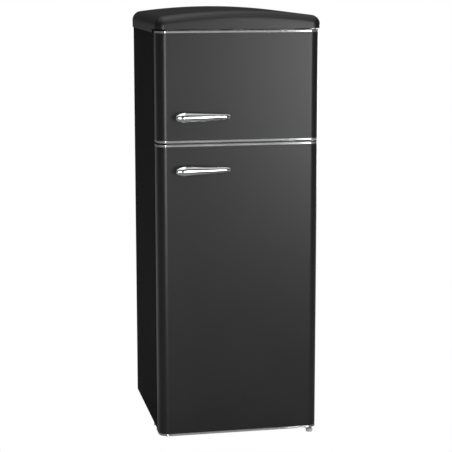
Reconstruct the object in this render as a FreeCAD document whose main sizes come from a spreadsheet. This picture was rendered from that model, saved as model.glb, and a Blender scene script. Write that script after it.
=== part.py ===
import FreeCAD, Part
import math
import os

import Sketcher
from FreeCAD import Placement, Rotation, Vector

# Top-freezer refrigerator in the 1950s style: a steel cabinet with a crowned plastic top cover, two
# foamed doors hinged on the right, and everything that it needs inside. Millimetres, +Z up, the doors
# face -Y, +X is to the right of someone who stands in front. The origin lies on the floor, in the
# middle of the overall box.

DIMENSIONS = {
    # overall box
    "overall_width": 550,
    "overall_depth": 615,
    "overall_height": 1440,
    # cabinet
    "cabinet_width": 542,
    "cabinet_depth": 480,
    "cabinet_bottom": 31,
    "cabinet_top": 1377,
    "condenser_depth": 22,
    "sheet": 1,
    "flange": 39.5,
    "liner_wall": 1.5,
    "fridge_wall": 38.5,
    "fridge_back_wall": 48,
    "freezer_wall": 50,
    "freezer_back_wall": 60,
    "plate_gap": 2,
    # levels of the two compartments, measured at the outside of their liners
    "fridge_floor": 74.5,
    "mullion_bottom": 979,
    "mullion_top": 1042,
    "freezer_ceiling": 1326.5,
    # room for the compressor, at the bottom of the back
    "machine_front": 99,
    "machine_ceiling": 205,
    "step_front": 60,
    "step_top": 240,
    # top cover
    "cover_skirt": 1368,
    "cover_front_bottom": 1381,
    "cover_shoulder": 1420,
    "cover_side_round": 31.8,
    "cover_front_round": 30,
    "cover_wall": 3,
    "cover_front_overhang": 4,
    # doors
    "gasket_gap": 12,
    "door_thickness": 63,
    "door_round": 32.7,
    "fridge_door_bottom": 23,
    "fridge_door_top": 1007.5,
    "freezer_door_bottom": 1013.5,
    "freezer_door_top": 1376,
    "trim_height": 7,
    "trim_proud": 0.8,
    "gasket_width": 16,
    "gasket_inset": 21,
    "rim_depth": 40,
    "rim_width": 14,
    # hinges
    "hinge_inset": 19,
    "hinge_setback": 29.5,
    "pin_radius": 4,
    "running_fit": 0.05,
    "bush_radius": 7,
    "bush_length": 24,
    "plate": 3,
    # handles
    "handle_length": 184,
    "handle_nose": -215.5,
    "handle_proud": 38,
    "freezer_handle_level": 1098,
    "fridge_handle_level": 923,
    # inside
    "shelf_glass": 4,
    "shelf_front": -88,
    "crisper_cover_level": 330,
    "shelf_pitch": 165,
    "freezer_shelf_level": 1180,
    "freezer_rack_level": 1090,
    "upper_rack_level": 770,
    "middle_rack_level": 530,
    "bottle_rack_level": 130,
    "rack_wall": 2,
    "crisper_half": 198,
    "crisper_wall": 2.5,
    # compressor and pipes
    "compressor_x": 70,
    "compressor_y": 192,
    "compressor_base": 50,
    "coil_stand_off": 15,
    "drier_x": -150,
    "drier_y": 240,
    # feet and rollers
    "foot_radius": 11.5,
    "foot_pad": 12,
    "stud_radius": 4,
    "roller_radius": 23,
    "roller_width": 16,
    "roller_setback": 40,
}

doc = FreeCAD.newDocument("top_freezer_refrigerator")
sheet = doc.addObject("Spreadsheet::Sheet", "dims")
for row, (alias, size) in enumerate(DIMENSIONS.items(), start=1):
    sheet.set(f"A{row}", alias)
    sheet.set(f"B{row}", str(size))
    sheet.setAlias(f"B{row}", alias)
doc.recompute()

# Places that several pieces share, as expressions of the sheet's cells.
HALF = "dims.cabinet_width / 2"
BACK = "(dims.overall_depth / 2 - dims.condenser_depth)"
FRONT = f"({BACK} - dims.cabinet_depth)"
DOOR_BACK = f"({FRONT} - dims.gasket_gap)"
DOOR_FRONT = f"({DOOR_BACK} - dims.door_thickness)"
INNER = f"({HALF} - dims.sheet)"
FRIDGE_X = f"({INNER} - dims.fridge_wall)"
FRIDGE_IN = f"({FRIDGE_X} - dims.liner_wall)"
FRIDGE_BACK = f"({BACK} - dims.sheet - dims.fridge_back_wall)"
FREEZER_X = f"({INNER} - dims.freezer_wall)"
FREEZER_IN = f"({FREEZER_X} - dims.liner_wall)"
FREEZER_BACK = f"({BACK} - dims.sheet - dims.freezer_back_wall)"
AXIS_X = f"({HALF} - dims.hinge_inset)"
AXIS_Y = f"({DOOR_FRONT} + dims.hinge_setback)"

subparts = []


def num(expression):
    """The value of an expression of the sheet's cells, in millimetres."""
    return float(sheet.evalExpression(str(expression)))


def neg(expression):
    return f"-({expression})"


# ---------------------------------------------------------------- building blocks


def new_body(label):
    body = doc.addObject("PartDesign::Body", label)
    body.Label = label
    body.AllowCompound = True
    subparts.append(body)
    return body


def new_sketch(body, role, offsets):
    """A sketch on one of the body's own planes, moved by three expressions along the sketch's axes."""
    sketch = body.newObject("Sketcher::SketchObject", f"{body.Label}_sketch")
    support = next(f for f in body.Origin.OriginFeatures if f.Role == role)
    sketch.AttachmentSupport = [(support, "")]
    sketch.MapMode = "FlatFace"
    sketch.AttachmentOffset = Placement(Vector(*(num(o) for o in offsets)), Rotation())
    for axis, offset in zip("xyz", offsets):
        sketch.setExpression(f"AttachmentOffset.Base.{axis}", str(offset))
    return sketch


def bind(sketch, kind, *where_and_size):
    """A constraint whose size follows the sheet."""
    *where, expression = where_and_size
    index = sketch.addConstraint(Sketcher.Constraint(kind, *where, num(expression)))
    sketch.setExpression(f"Constraints[{index}]", str(expression))


def draw_circle(sketch, x, y, radius):
    circle = sketch.addGeometry(Part.Circle(Vector(num(x), num(y), 0), Vector(0, 0, 1), num(radius)))
    bind(sketch, "DistanceX", circle, 3, x)
    bind(sketch, "DistanceY", circle, 3, y)
    bind(sketch, "Radius", circle, radius)


def draw_polygon(sketch, corners):
    """A closed outline. Each corner is (x, y), or (x, y, radius) where it is rounded."""
    points = [Vector(num(c[0]), num(c[1]), 0) for c in corners]
    count = len(corners)
    starts, ends, arcs = [], [], []
    for i, corner in enumerate(corners):
        here, before, after = points[i], points[i - 1], points[(i + 1) % count]
        back = (before - here).normalize()
        on = (after - here).normalize()
        if len(corner) == 2:
            starts.append(here)
            ends.append(here)
            arcs.append(None)
            continue
        half_angle = back.getAngle(on) / 2
        reach = num(corner[2]) / math.tan(half_angle)
        centre = here + (back + on).normalize() * (num(corner[2]) / math.sin(half_angle))
        starts.append(here + on * reach)
        ends.append(here + back * reach)
        arcs.append(centre)
    lines = [
        sketch.addGeometry(Part.LineSegment(starts[i], ends[(i + 1) % count])) for i in range(count)
    ]
    for i, corner in enumerate(corners):
        before, after = lines[i - 1], lines[i]
        if arcs[i] is None:
            sketch.addConstraint(Sketcher.Constraint("Coincident", before, 2, after, 1))
            bind(sketch, "DistanceX", after, 1, corner[0])
            bind(sketch, "DistanceY", after, 1, corner[1])
            continue
        centre, radius = arcs[i], num(corner[2])
        first, last = ends[i] - centre, starts[i] - centre
        left_turn = first.cross(last).z > 0
        low, high = (first, last) if left_turn else (last, first)
        arc = sketch.addGeometry(
            Part.ArcOfCircle(
                Part.Circle(centre, Vector(0, 0, 1), radius),
                math.atan2(low.y, low.x),
                math.atan2(high.y, high.x),
            )
        )
        into, out = (1, 2) if left_turn else (2, 1)
        sketch.addConstraint(Sketcher.Constraint("Tangent", before, 2, arc, into))
        sketch.addConstraint(Sketcher.Constraint("Tangent", arc, out, after, 1))
        bind(sketch, "Radius", arc, corner[2])
        corner_point = sketch.addGeometry(Part.Point(points[i]), True)
        sketch.addConstraint(Sketcher.Constraint("PointOnObject", corner_point, 1, before))
        sketch.addConstraint(Sketcher.Constraint("PointOnObject", corner_point, 1, after))
        bind(sketch, "DistanceX", corner_point, 1, corner[0])
        bind(sketch, "DistanceY", corner_point, 1, corner[1])


def draw(sketch, loops):
    """Each loop is a circle (x, y, radius) as a tuple, or a list of corners."""
    for loop in loops:
        if isinstance(loop, tuple):
            draw_circle(sketch, *loop)
        else:
            draw_polygon(sketch, loop)


def rect(x0, y0, x1, y1, radius=None):
    corners = [(x0, y0), (x1, y0), (x1, y1), (x0, y1)]
    if radius is None:
        return corners
    return [(x, y, radius) for x, y in corners]


def prism(body, role, loops, low, high, cut=False):
    """Adds or cuts the outline between two places along the axis square to its plane.

    The XZ plane's own normal points along -Y, so its sketch starts at the higher place.
    """
    start = neg(high) if role == "XZ_Plane" else low
    sketch = new_sketch(body, role, ("0", "0", start))
    draw(sketch, loops)
    kind = "PartDesign::Pocket" if cut else "PartDesign::Pad"
    feature = body.newObject(kind, f"{body.Label}_{'cut' if cut else 'pad'}")
    feature.Profile = sketch
    feature.Type = "Length"
    if cut:
        feature.Reversed = True
    feature.setExpression("Length", f"({high}) - ({low})")
    return feature


def block(body, x, y, z, cut=False, radius=None):
    """A box between pairs of places along X, Y and Z."""
    return prism(body, "XY_Plane", [rect(x[0], y[0], x[1], y[1], radius)], z[0], z[1], cut)


def turn(body, role, centre, corners, axis, cut=False):
    """Turns an outline about a line through the centre: the sketch's V_Axis or H_Axis."""
    sketch = new_sketch(body, role, centre)
    draw(sketch, [corners])
    kind = "PartDesign::Groove" if cut else "PartDesign::Revolution"
    feature = body.newObject(kind, f"{body.Label}_turned")
    feature.Profile = sketch
    feature.ReferenceAxis = (sketch, [axis])
    feature.Angle = 360
    return feature


def round_edges(body, radius, chosen):
    """Rounds the edges of the body's tip for which chosen(edge) is true."""
    doc.recompute()
    base = body.Tip
    names = [f"Edge{i}" for i, edge in enumerate(base.Shape.Edges, start=1) if chosen(edge)]
    fillet = body.newObject("PartDesign::Fillet", f"{body.Label}_rounding")
    fillet.Base = (base, names)
    fillet.setExpression("Radius", str(radius))
    return fillet


def along(edge, direction):
    """Whether a straight edge runs along the direction."""
    if not isinstance(edge.Curve, Part.Line):
        return False
    return abs(abs(edge.Curve.Direction.dot(direction)) - 1) < 1e-6


def bent_tube(points, radius, bend):
    """A rod along straight runs joined by tangent arcs."""
    points = [Vector(*p) for p in points]
    edges = []
    start = points[0]
    for before, here, after in zip(points, points[1:], points[2:]):
        back = (before - here).normalize()
        on = (after - here).normalize()
        half_angle = back.getAngle(on) / 2
        reach = bend / math.tan(half_angle)
        middle = here + (back + on).normalize() * (bend / math.sin(half_angle) - bend)
        edges.append(Part.makeLine(start, here + back * reach))
        edges.append(Part.Arc(here + back * reach, middle, here + on * reach).toShape())
        start = here + on * reach
    edges.append(Part.makeLine(start, points[-1]))
    path = Part.Wire(edges)
    first_run = points[1] - points[0]
    section = Part.Wire(Part.makeCircle(radius, points[0], first_run))
    return path.makePipeShell([section], True, False)


def shape_feature(label, shape):
    """A piece whose shape neither sketches nor primitives give."""
    feature = doc.addObject("Part::Feature", label)
    feature.Label = label
    feature.Shape = shape
    feature.Placement = Placement()
    subparts.append(feature)
    return feature


# ---------------------------------------------------------------- steel cabinet


def side_panel(label, side):
    """Flat painted sheet with a front flange that the door gaskets seal on."""
    body = new_body(label)
    outer, inner = f"{side} * {HALF}", f"{side} * {INNER}"
    lip = f"{side} * ({HALF} - dims.flange)"
    corners = [
        (outer, FRONT, "3"),
        (outer, BACK),
        (inner, BACK),
        (inner, f"{FRONT} + dims.sheet", "2"),
        (lip, f"{FRONT} + dims.sheet"),
        (lip, FRONT),
    ]
    prism(body, "XY_Plane", [corners], "dims.cabinet_bottom", "dims.cabinet_top")


def top_sheet():
    """Steel top under the cover, with a flange above the freezer's opening."""
    body = new_body("top_sheet")
    flange_x = f"({HALF} - dims.flange)"
    low = "dims.cabinet_top - dims.sheet"
    block(body, (neg(INNER), INNER), (f"{FRONT} + dims.sheet", BACK), (low, "dims.cabinet_top"))
    block(
        body,
        (neg(flange_x), flange_x),
        (FRONT, f"{FRONT} + dims.sheet"),
        ("dims.freezer_ceiling", "dims.cabinet_top"),
    )


def back_panel():
    body = new_body("back_panel")
    block(
        body,
        (neg(INNER), INNER),
        (f"{BACK} - dims.sheet", BACK),
        ("dims.machine_ceiling + dims.sheet", "dims.cabinet_top - dims.sheet"),
    )


def bottom_sheet():
    """Stepped steel floor: under the food, up in front of the compressor and over it."""
    body = new_body("bottom_sheet")
    low, step = "dims.cabinet_bottom", "dims.machine_front"
    roof = "dims.machine_ceiling"
    corners = [
        (f"{FRONT} + dims.sheet", low),
        (step, low),
        (step, roof),
        (BACK, roof),
        (BACK, f"{roof} + dims.sheet"),
        (f"{step} - dims.sheet", f"{roof} + dims.sheet"),
        (f"{step} - dims.sheet", f"{low} + dims.sheet"),
        (f"{FRONT} + dims.sheet", f"{low} + dims.sheet"),
    ]
    prism(body, "YZ_Plane", [corners], neg(INNER), INNER)
    flange_x = f"({HALF} - dims.flange)"
    block(
        body,
        (neg(flange_x), flange_x),
        (FRONT, f"{FRONT} + dims.sheet"),
        (low, "dims.fridge_floor"),
    )
    prism(body, "XY_Plane", [drain_hole("8")], roof, f"{roof} + dims.sheet", cut=True)


def drain_hole(radius):
    return ("60", f"{FRIDGE_BACK} - 30", radius)


def fridge_space(inset):
    """The fridge compartment seen from the side, with its step over the compressor."""
    return [
        (FRONT, f"dims.fridge_floor + {inset}"),
        (f"dims.step_front - {inset}", f"dims.fridge_floor + {inset}", "12"),
        (f"dims.step_front - {inset}", f"dims.step_top + {inset}", "12"),
        (f"{FRIDGE_BACK} - {inset}", f"dims.step_top + {inset}", "12"),
        (f"{FRIDGE_BACK} - {inset}", f"dims.mullion_bottom - {inset}", "12"),
        (FRONT, f"dims.mullion_bottom - {inset}"),
    ]


def insulation_foam():
    """Polyurethane foam between the steel and the two liners."""
    body = new_body("insulation_foam")
    low, high = "dims.cabinet_bottom + dims.sheet", "dims.cabinet_top - dims.sheet"
    front, back = f"{FRONT} + dims.sheet", f"{BACK} - dims.sheet"
    corners = [
        (front, low),
        ("dims.machine_front - dims.sheet", low),
        ("dims.machine_front - dims.sheet", "dims.machine_ceiling + dims.sheet"),
        (back, "dims.machine_ceiling + dims.sheet"),
        (back, high),
        (front, high),
    ]
    prism(body, "YZ_Plane", [corners], neg(INNER), INNER)
    prism(body, "YZ_Plane", [fridge_space("0")], neg(FRIDGE_X), FRIDGE_X, cut=True)
    prism(body, "YZ_Plane", [freezer_space("0")], neg(FREEZER_X), FREEZER_X, cut=True)
    for space in evaporator_boxes():
        block(body, *space, cut=True)
    fold = "2.2"
    for x in ((neg(INNER), f"{fold} - {INNER}"), (f"{INNER} - {fold}", INNER)):
        block(body, x, (front, f"{front} + {fold}"), (low, high), cut=True)
    prism(
        body,
        "XY_Plane",
        [drain_hole("8")],
        "dims.machine_ceiling + dims.sheet",
        "dims.step_top",
        cut=True,
    )


def freezer_space(inset):
    return [
        (FRONT, f"dims.mullion_top + {inset}"),
        (f"{FREEZER_BACK} - {inset}", f"dims.mullion_top + {inset}", "12"),
        (f"{FREEZER_BACK} - {inset}", f"dims.freezer_ceiling - {inset}", "12"),
        (FRONT, f"dims.freezer_ceiling - {inset}"),
    ]


def evaporator_boxes():
    """Where the two cold plates lie, between the foam and the back of each liner."""
    return [
        (
            ("-180", "180"),
            (FRIDGE_BACK, f"{FRIDGE_BACK} + dims.plate_gap"),
            ("dims.step_top + 200", "dims.mullion_bottom - 60"),
        ),
        (
            ("-190", "190"),
            (FREEZER_BACK, f"{FREEZER_BACK} + dims.plate_gap"),
            ("dims.mullion_top + 30", "dims.freezer_ceiling - 30"),
        ),
    ]


def evaporator_plates():
    """Roll-bonded aluminium plates: a flat sheet with the raised channels of the refrigerant."""
    body = new_body("evaporator_plates")
    for x, y, z in evaporator_boxes():
        thin = (f"{y[0]} + 0.1", f"{y[0]} + 1.1")
        block(body, x, thin, z)
        channel_count = 5
        for i in range(channel_count):
            level = f"{z[0]} + ({i} + 0.5) * ({z[1]} - ({z[0]})) / {channel_count}"
            block(
                body,
                (f"{x[0]} + 15", f"{x[1]} - 15"),
                (f"{y[0]} + 1.1", f"{y[1]} - 0.1"),
                (f"{level} - 5", f"{level} + 5"),
            )


def fridge_liner():
    """White vacuum-formed tub with ribs that carry the shelves."""
    body = new_body("fridge_liner")
    prism(body, "YZ_Plane", [fridge_space("0")], neg(FRIDGE_X), FRIDGE_X)
    inside = fridge_space("dims.liner_wall")
    prism(body, "YZ_Plane", [inside], neg(FRIDGE_IN), FRIDGE_IN, cut=True)
    for i in range(4):
        level = f"dims.crisper_cover_level + {i} * dims.shelf_pitch"
        for side in ("-1", "1"):
            wall, edge = f"{side} * {FRIDGE_IN}", f"{side} * ({FRIDGE_IN} - 6)"
            low, high = (wall, edge) if side == "-1" else (edge, wall)
            block(
                body,
                (low, high),
                ("dims.shelf_front + 6", f"{FRIDGE_BACK} - 12"),
                (f"{level} - 7", level),
            )
    prism(
        body,
        "XY_Plane",
        [drain_hole("6")],
        "dims.step_top - 1",
        "dims.step_top + dims.liner_wall + 1",
        cut=True,
    )


def freezer_liner():
    """White tub with a front lip that covers the thicker foam, and ribs for its shelf."""
    body = new_body("freezer_liner")
    prism(body, "YZ_Plane", [freezer_space("0")], neg(FREEZER_X), FREEZER_X)
    inside = freezer_space("dims.liner_wall")
    prism(body, "YZ_Plane", [inside], neg(FREEZER_IN), FREEZER_IN, cut=True)
    flange_x = f"({HALF} - dims.flange)"
    for low, high in ((neg(flange_x), neg(FREEZER_X)), (FREEZER_X, flange_x)):
        block(
            body,
            (low, high),
            (FRONT, f"{FRONT} + dims.sheet"),
            ("dims.mullion_top", "dims.freezer_ceiling"),
        )
    level = "dims.freezer_shelf_level"
    for side in ("-1", "1"):
        wall, edge = f"{side} * {FREEZER_IN}", f"{side} * ({FREEZER_IN} - 6)"
        low, high = (wall, edge) if side == "-1" else (edge, wall)
        block(body, (low, high), ("-110", f"{FREEZER_BACK} - 12"), (f"{level} - 7", level))


def mullion_strip():
    """Grey strip over the foam between the two openings."""
    body = new_body("mullion_strip")
    flange_x = f"({HALF} - dims.flange)"
    block(
        body,
        (neg(flange_x), flange_x),
        (FRONT, f"{FRONT} + dims.sheet"),
        ("dims.mullion_bottom", "dims.mullion_top"),
    )


# ---------------------------------------------------------------- top cover


def crown_profile(sketch, inset, bottom):
    """Cover seen from the front: upright sides, rounded shoulders and one long arc over the top."""
    half_width = "dims.overall_width / 2"
    crown_rise = "(dims.overall_height - dims.cover_shoulder)"
    crown_radius = f"((({half_width})^2 + {crown_rise}^2) / (2 * {crown_rise}) - {inset})"
    crown_level = f"dims.overall_height - {inset} - {crown_radius}"
    corner_radius = f"dims.cover_side_round - {inset}"
    half, crown, corner = num(f"{half_width} - {inset}"), num(crown_radius), num(corner_radius)
    crown_centre = Vector(0, num(crown_level), 0)
    corner_x = half - corner
    corner_z = crown_centre.y + math.sqrt((crown - corner) ** 2 - corner_x**2)
    meet = math.atan2(corner_z - crown_centre.y, corner_x)
    up = Vector(0, 0, 1)
    low = num(bottom)
    right = Part.LineSegment(Vector(half, low, 0), Vector(half, corner_z, 0))
    right_round = Part.ArcOfCircle(Part.Circle(Vector(corner_x, corner_z, 0), up, corner), 0, meet)
    arch = Part.ArcOfCircle(Part.Circle(crown_centre, up, crown), meet, math.pi - meet)
    left_centre = Vector(-corner_x, corner_z, 0)
    left_round = Part.ArcOfCircle(Part.Circle(left_centre, up, corner), math.pi - meet, math.pi)
    left = Part.LineSegment(Vector(-half, corner_z, 0), Vector(-half, low, 0))
    base = Part.LineSegment(Vector(-half, low, 0), Vector(half, low, 0))
    sketch.addGeometry([right, right_round, arch, left_round, left, base], False)
    for first, second, first_end, second_end in (
        (0, 1, 2, 1),
        (1, 2, 2, 1),
        (2, 3, 2, 1),
        (3, 4, 2, 1),
    ):
        sketch.addConstraint(Sketcher.Constraint("Tangent", first, first_end, second, second_end))
    sketch.addConstraint(Sketcher.Constraint("Coincident", 4, 2, 5, 1))
    sketch.addConstraint(Sketcher.Constraint("Coincident", 5, 2, 0, 1))
    bind(sketch, "DistanceX", 5, 1, f"-({half_width} - {inset})")
    bind(sketch, "DistanceY", 5, 1, bottom)
    bind(sketch, "DistanceX", 5, 2, f"{half_width} - {inset}")
    bind(sketch, "DistanceY", 5, 2, bottom)
    bind(sketch, "Radius", 1, corner_radius)
    bind(sketch, "Radius", 3, corner_radius)
    bind(sketch, "Radius", 2, crown_radius)
    bind(sketch, "DistanceY", 2, 3, crown_level)


def crown_block(body, inset, bottom, front, back):
    """One crowned block, its front edge rounded all the way round; with inset, the hollow in it."""
    sketch = new_sketch(body, "XZ_Plane", ("0", "0", neg(back)))
    crown_profile(sketch, inset, bottom)
    pad = body.newObject("PartDesign::Pad", f"{body.Label}_pad")
    pad.Profile = sketch
    pad.setExpression("Length", f"({back}) - ({front})")
    edge_y = num(front)
    base_z = num(bottom)

    def on_front_edge(edge):
        box = edge.BoundBox
        flat_base = box.ZLength < 0.01 and abs(box.ZMin - base_z) < 0.01
        return box.YLength < 0.01 and abs(box.YMin - edge_y) < 0.01 and not flat_base

    round_edges(body, f"dims.cover_front_round - {inset}", on_front_edge)


def top_cover():
    """Crowned plastic cover, hollow below, closed by a floor where it reaches out over the door."""
    outer = doc.addObject("PartDesign::Body", "cover_outside")
    front = f"({DOOR_FRONT} - dims.cover_front_overhang)"
    crown_block(outer, "0", "dims.cover_skirt", front, BACK)
    hollow = doc.addObject("PartDesign::Body", "cover_hollow")
    wall = "dims.cover_wall"
    crown_block(hollow, wall, "dims.cover_skirt - 5", f"({front} + {wall})", f"({BACK} - {wall})")
    floor_top = "dims.cover_front_bottom + dims.cover_wall"
    block(
        hollow,
        ("-dims.overall_width", "dims.overall_width"),
        (f"{front} - 50", f"{FRONT} - 3"),
        ("dims.cover_skirt - 50", floor_top),
        cut=True,
    )
    shell = doc.addObject("Part::Cut", "cover_shell")
    shell.Base = outer
    shell.Tool = hollow
    over_door = cut_below(shell, "cover_over_door", f"{FRONT} - 200", FRONT, "dims.cover_front_bottom")
    cover = cut_below(over_door, "top_cover", f"{BACK} - {wall}", f"{BACK} + 50", "dims.cabinet_top")
    cover.Label = "top_cover"
    subparts.append(cover)


def cut_below(base, label, front, back, level):
    """Takes away what lies below a level between two places along Y, over the whole width."""
    space = doc.addObject("Part::Box", f"{label}_clearance")
    space.setExpression("Length", "2 * dims.overall_width")
    space.setExpression("Width", f"({back}) - ({front})")
    space.setExpression("Height", f"{level} - dims.cover_skirt + 50")
    space.setExpression("Placement.Base.x", "-dims.overall_width")
    space.setExpression("Placement.Base.y", front)
    space.setExpression("Placement.Base.z", "dims.cover_skirt - 50")
    result = doc.addObject("Part::Cut", label)
    result.Base = base
    result.Tool = space
    return result


# ---------------------------------------------------------------- hinges

TOP_SCREWS = (("-62", "28"), ("-22", "28"))
FLANGE_SCREWS = ("-46", "-22")


def tongue(body, low, high):
    """Horizontal plate of a hinge: from the cabinet's front to round the pin."""
    prism(
        body,
        "XY_Plane",
        [
            [
                (f"{AXIS_X} - 50", f"{FRONT}"),
                (f"{AXIS_X} - 10", f"{AXIS_Y} - 9", "8"),
                (f"{AXIS_X} + 10", f"{AXIS_Y} - 9", "8"),
                (f"{AXIS_X} + 12", f"{FRONT}"),
            ]
        ],
        low,
        high,
    )


def pin_hole(body, low, high):
    prism(body, "XY_Plane", [(AXIS_X, AXIS_Y, "dims.pin_radius")], low, high, cut=True)


def top_hinge_bracket():
    """Flat plate on the cabinet's top, under the cover, that carries the upper pin."""
    body = new_body("top_hinge_bracket")
    low, high = "dims.cabinet_top", "dims.cabinet_top + dims.plate"
    tongue(body, low, high)
    rear = [
        (f"{AXIS_X} - 80", f"{FRONT} + 45", "6"),
        (f"{AXIS_X} - 80", FRONT),
        (f"{AXIS_X} + 12", FRONT),
        (f"{AXIS_X} + 12", f"{FRONT} + 45", "6"),
    ]
    prism(body, "XY_Plane", [rear], low, high)
    pin_hole(body, low, high)
    holes = [(f"{AXIS_X} + {x}", f"{FRONT} + {y}", "2.6") for x, y in TOP_SCREWS]
    prism(body, "XY_Plane", holes, low, high, cut=True)


def flanged_bracket(label, tongue_low, flange_low, flange_high):
    """Angle bracket: a flange screwed to the cabinet's front and a tongue that carries the pin."""
    body = new_body(label)
    tongue(body, tongue_low, f"{tongue_low} + dims.plate")
    block(
        body,
        (f"{AXIS_X} - 58", f"{AXIS_X} + 12"),
        (f"{FRONT} - dims.plate", FRONT),
        (flange_low, flange_high),
    )
    pin_hole(body, tongue_low, f"{tongue_low} + dims.plate")
    return body


GAP_MIDDLE = "((dims.fridge_door_top + dims.freezer_door_bottom) / 2)"
MIDDLE_TONGUE = f"({GAP_MIDDLE} - dims.plate / 2)"
BOTTOM_TONGUE = "(dims.fridge_door_bottom - dims.plate - 1)"
BOTTOM_FLANGE_TOP = "(dims.cabinet_bottom + 14)"


def middle_hinge_bracket():
    body = flanged_bracket(
        "middle_hinge_bracket", MIDDLE_TONGUE, f"{GAP_MIDDLE} - 10", f"{GAP_MIDDLE} + 10"
    )
    holes = [(f"{AXIS_X} + {x}", f"{GAP_MIDDLE} + {dz}", "2.1") for x, dz in (("-50", "6"), ("-50", "-6"))]
    prism(body, "XZ_Plane", holes, f"{FRONT} - dims.plate", FRONT, cut=True)


def bottom_hinge_bracket():
    """Carries the lowest pin above its tongue and a threaded collar for the right front foot below."""
    body = flanged_bracket(
        "bottom_hinge_bracket", BOTTOM_TONGUE, BOTTOM_TONGUE, BOTTOM_FLANGE_TOP
    )
    stud = "dims.stud_radius + dims.running_fit"
    collar_low = "dims.foot_pad + 1"
    prism(
        body,
        "XY_Plane",
        [(AXIS_X, AXIS_Y, "8"), (AXIS_X, AXIS_Y, stud)],
        collar_low,
        BOTTOM_TONGUE,
    )
    holes = [(f"{AXIS_X} + {x}", "dims.cabinet_bottom + 8", "2.1") for x in FLANGE_SCREWS]
    prism(body, "XZ_Plane", holes, f"{FRONT} - dims.plate", FRONT, cut=True)


def hinge_pins():
    """The three steel pins that the doors turn on, all on one axis."""
    body = new_body("hinge_pins")
    depth = "(dims.bush_length - 5)"
    spans = (
        (f"dims.freezer_door_top - {depth}", "dims.cabinet_top + dims.plate"),
        (f"dims.fridge_door_top - {depth}", f"dims.freezer_door_bottom + {depth}"),
        (BOTTOM_TONGUE, f"dims.fridge_door_bottom + {depth}"),
    )
    for low, high in spans:
        prism(body, "XY_Plane", [(AXIS_X, AXIS_Y, "dims.pin_radius")], low, high)


def hinge_screws():
    """Countersunk and pan-head screws of the three brackets."""
    body = new_body("hinge_screws")
    top = "(dims.cabinet_top + dims.plate)"
    for x, y in TOP_SCREWS:
        centre = (f"{AXIS_X} + {x}", f"{FRONT} + {y}")
        prism(body, "XY_Plane", [(*centre, "2.4")], "dims.cabinet_top", top)
        prism(body, "XY_Plane", [(*centre, "4.5")], top, f"{top} + 1.8")
    face = f"({FRONT} - dims.plate)"
    places = [(x, "dims.cabinet_bottom + 8") for x in FLANGE_SCREWS]
    places += [("-50", f"{GAP_MIDDLE} + 6"), ("-50", f"{GAP_MIDDLE} - 6")]
    for x, z in places:
        centre = (f"{AXIS_X} + {x}", z)
        prism(body, "XZ_Plane", [(*centre, "2")], face, FRONT)
        prism(body, "XZ_Plane", [(*centre, "3.6")], f"{face} - 1.6", face)


# ---------------------------------------------------------------- doors


def door_outline(inset, back):
    """A door seen from above: flat front, rounded front corners, straight sides."""
    side = f"{HALF} - {inset}"
    front = f"{DOOR_FRONT} + {inset}"
    radius = f"dims.door_round - {inset}"
    return [
        (neg(side), back),
        (neg(side), front, radius),
        (side, front, radius),
        (side, back),
    ]


def rim_frame(half, low, high, inset):
    """Outline of the raised rim on the inside of a door, or of its inner edge."""
    return rect(
        f"-({half}) + {inset}",
        f"{low} + {inset}",
        f"{half} - {inset}",
        f"{high} - {inset}",
        f"20 - {inset}" if inset != "dims.rim_width" else "6",
    )


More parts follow.
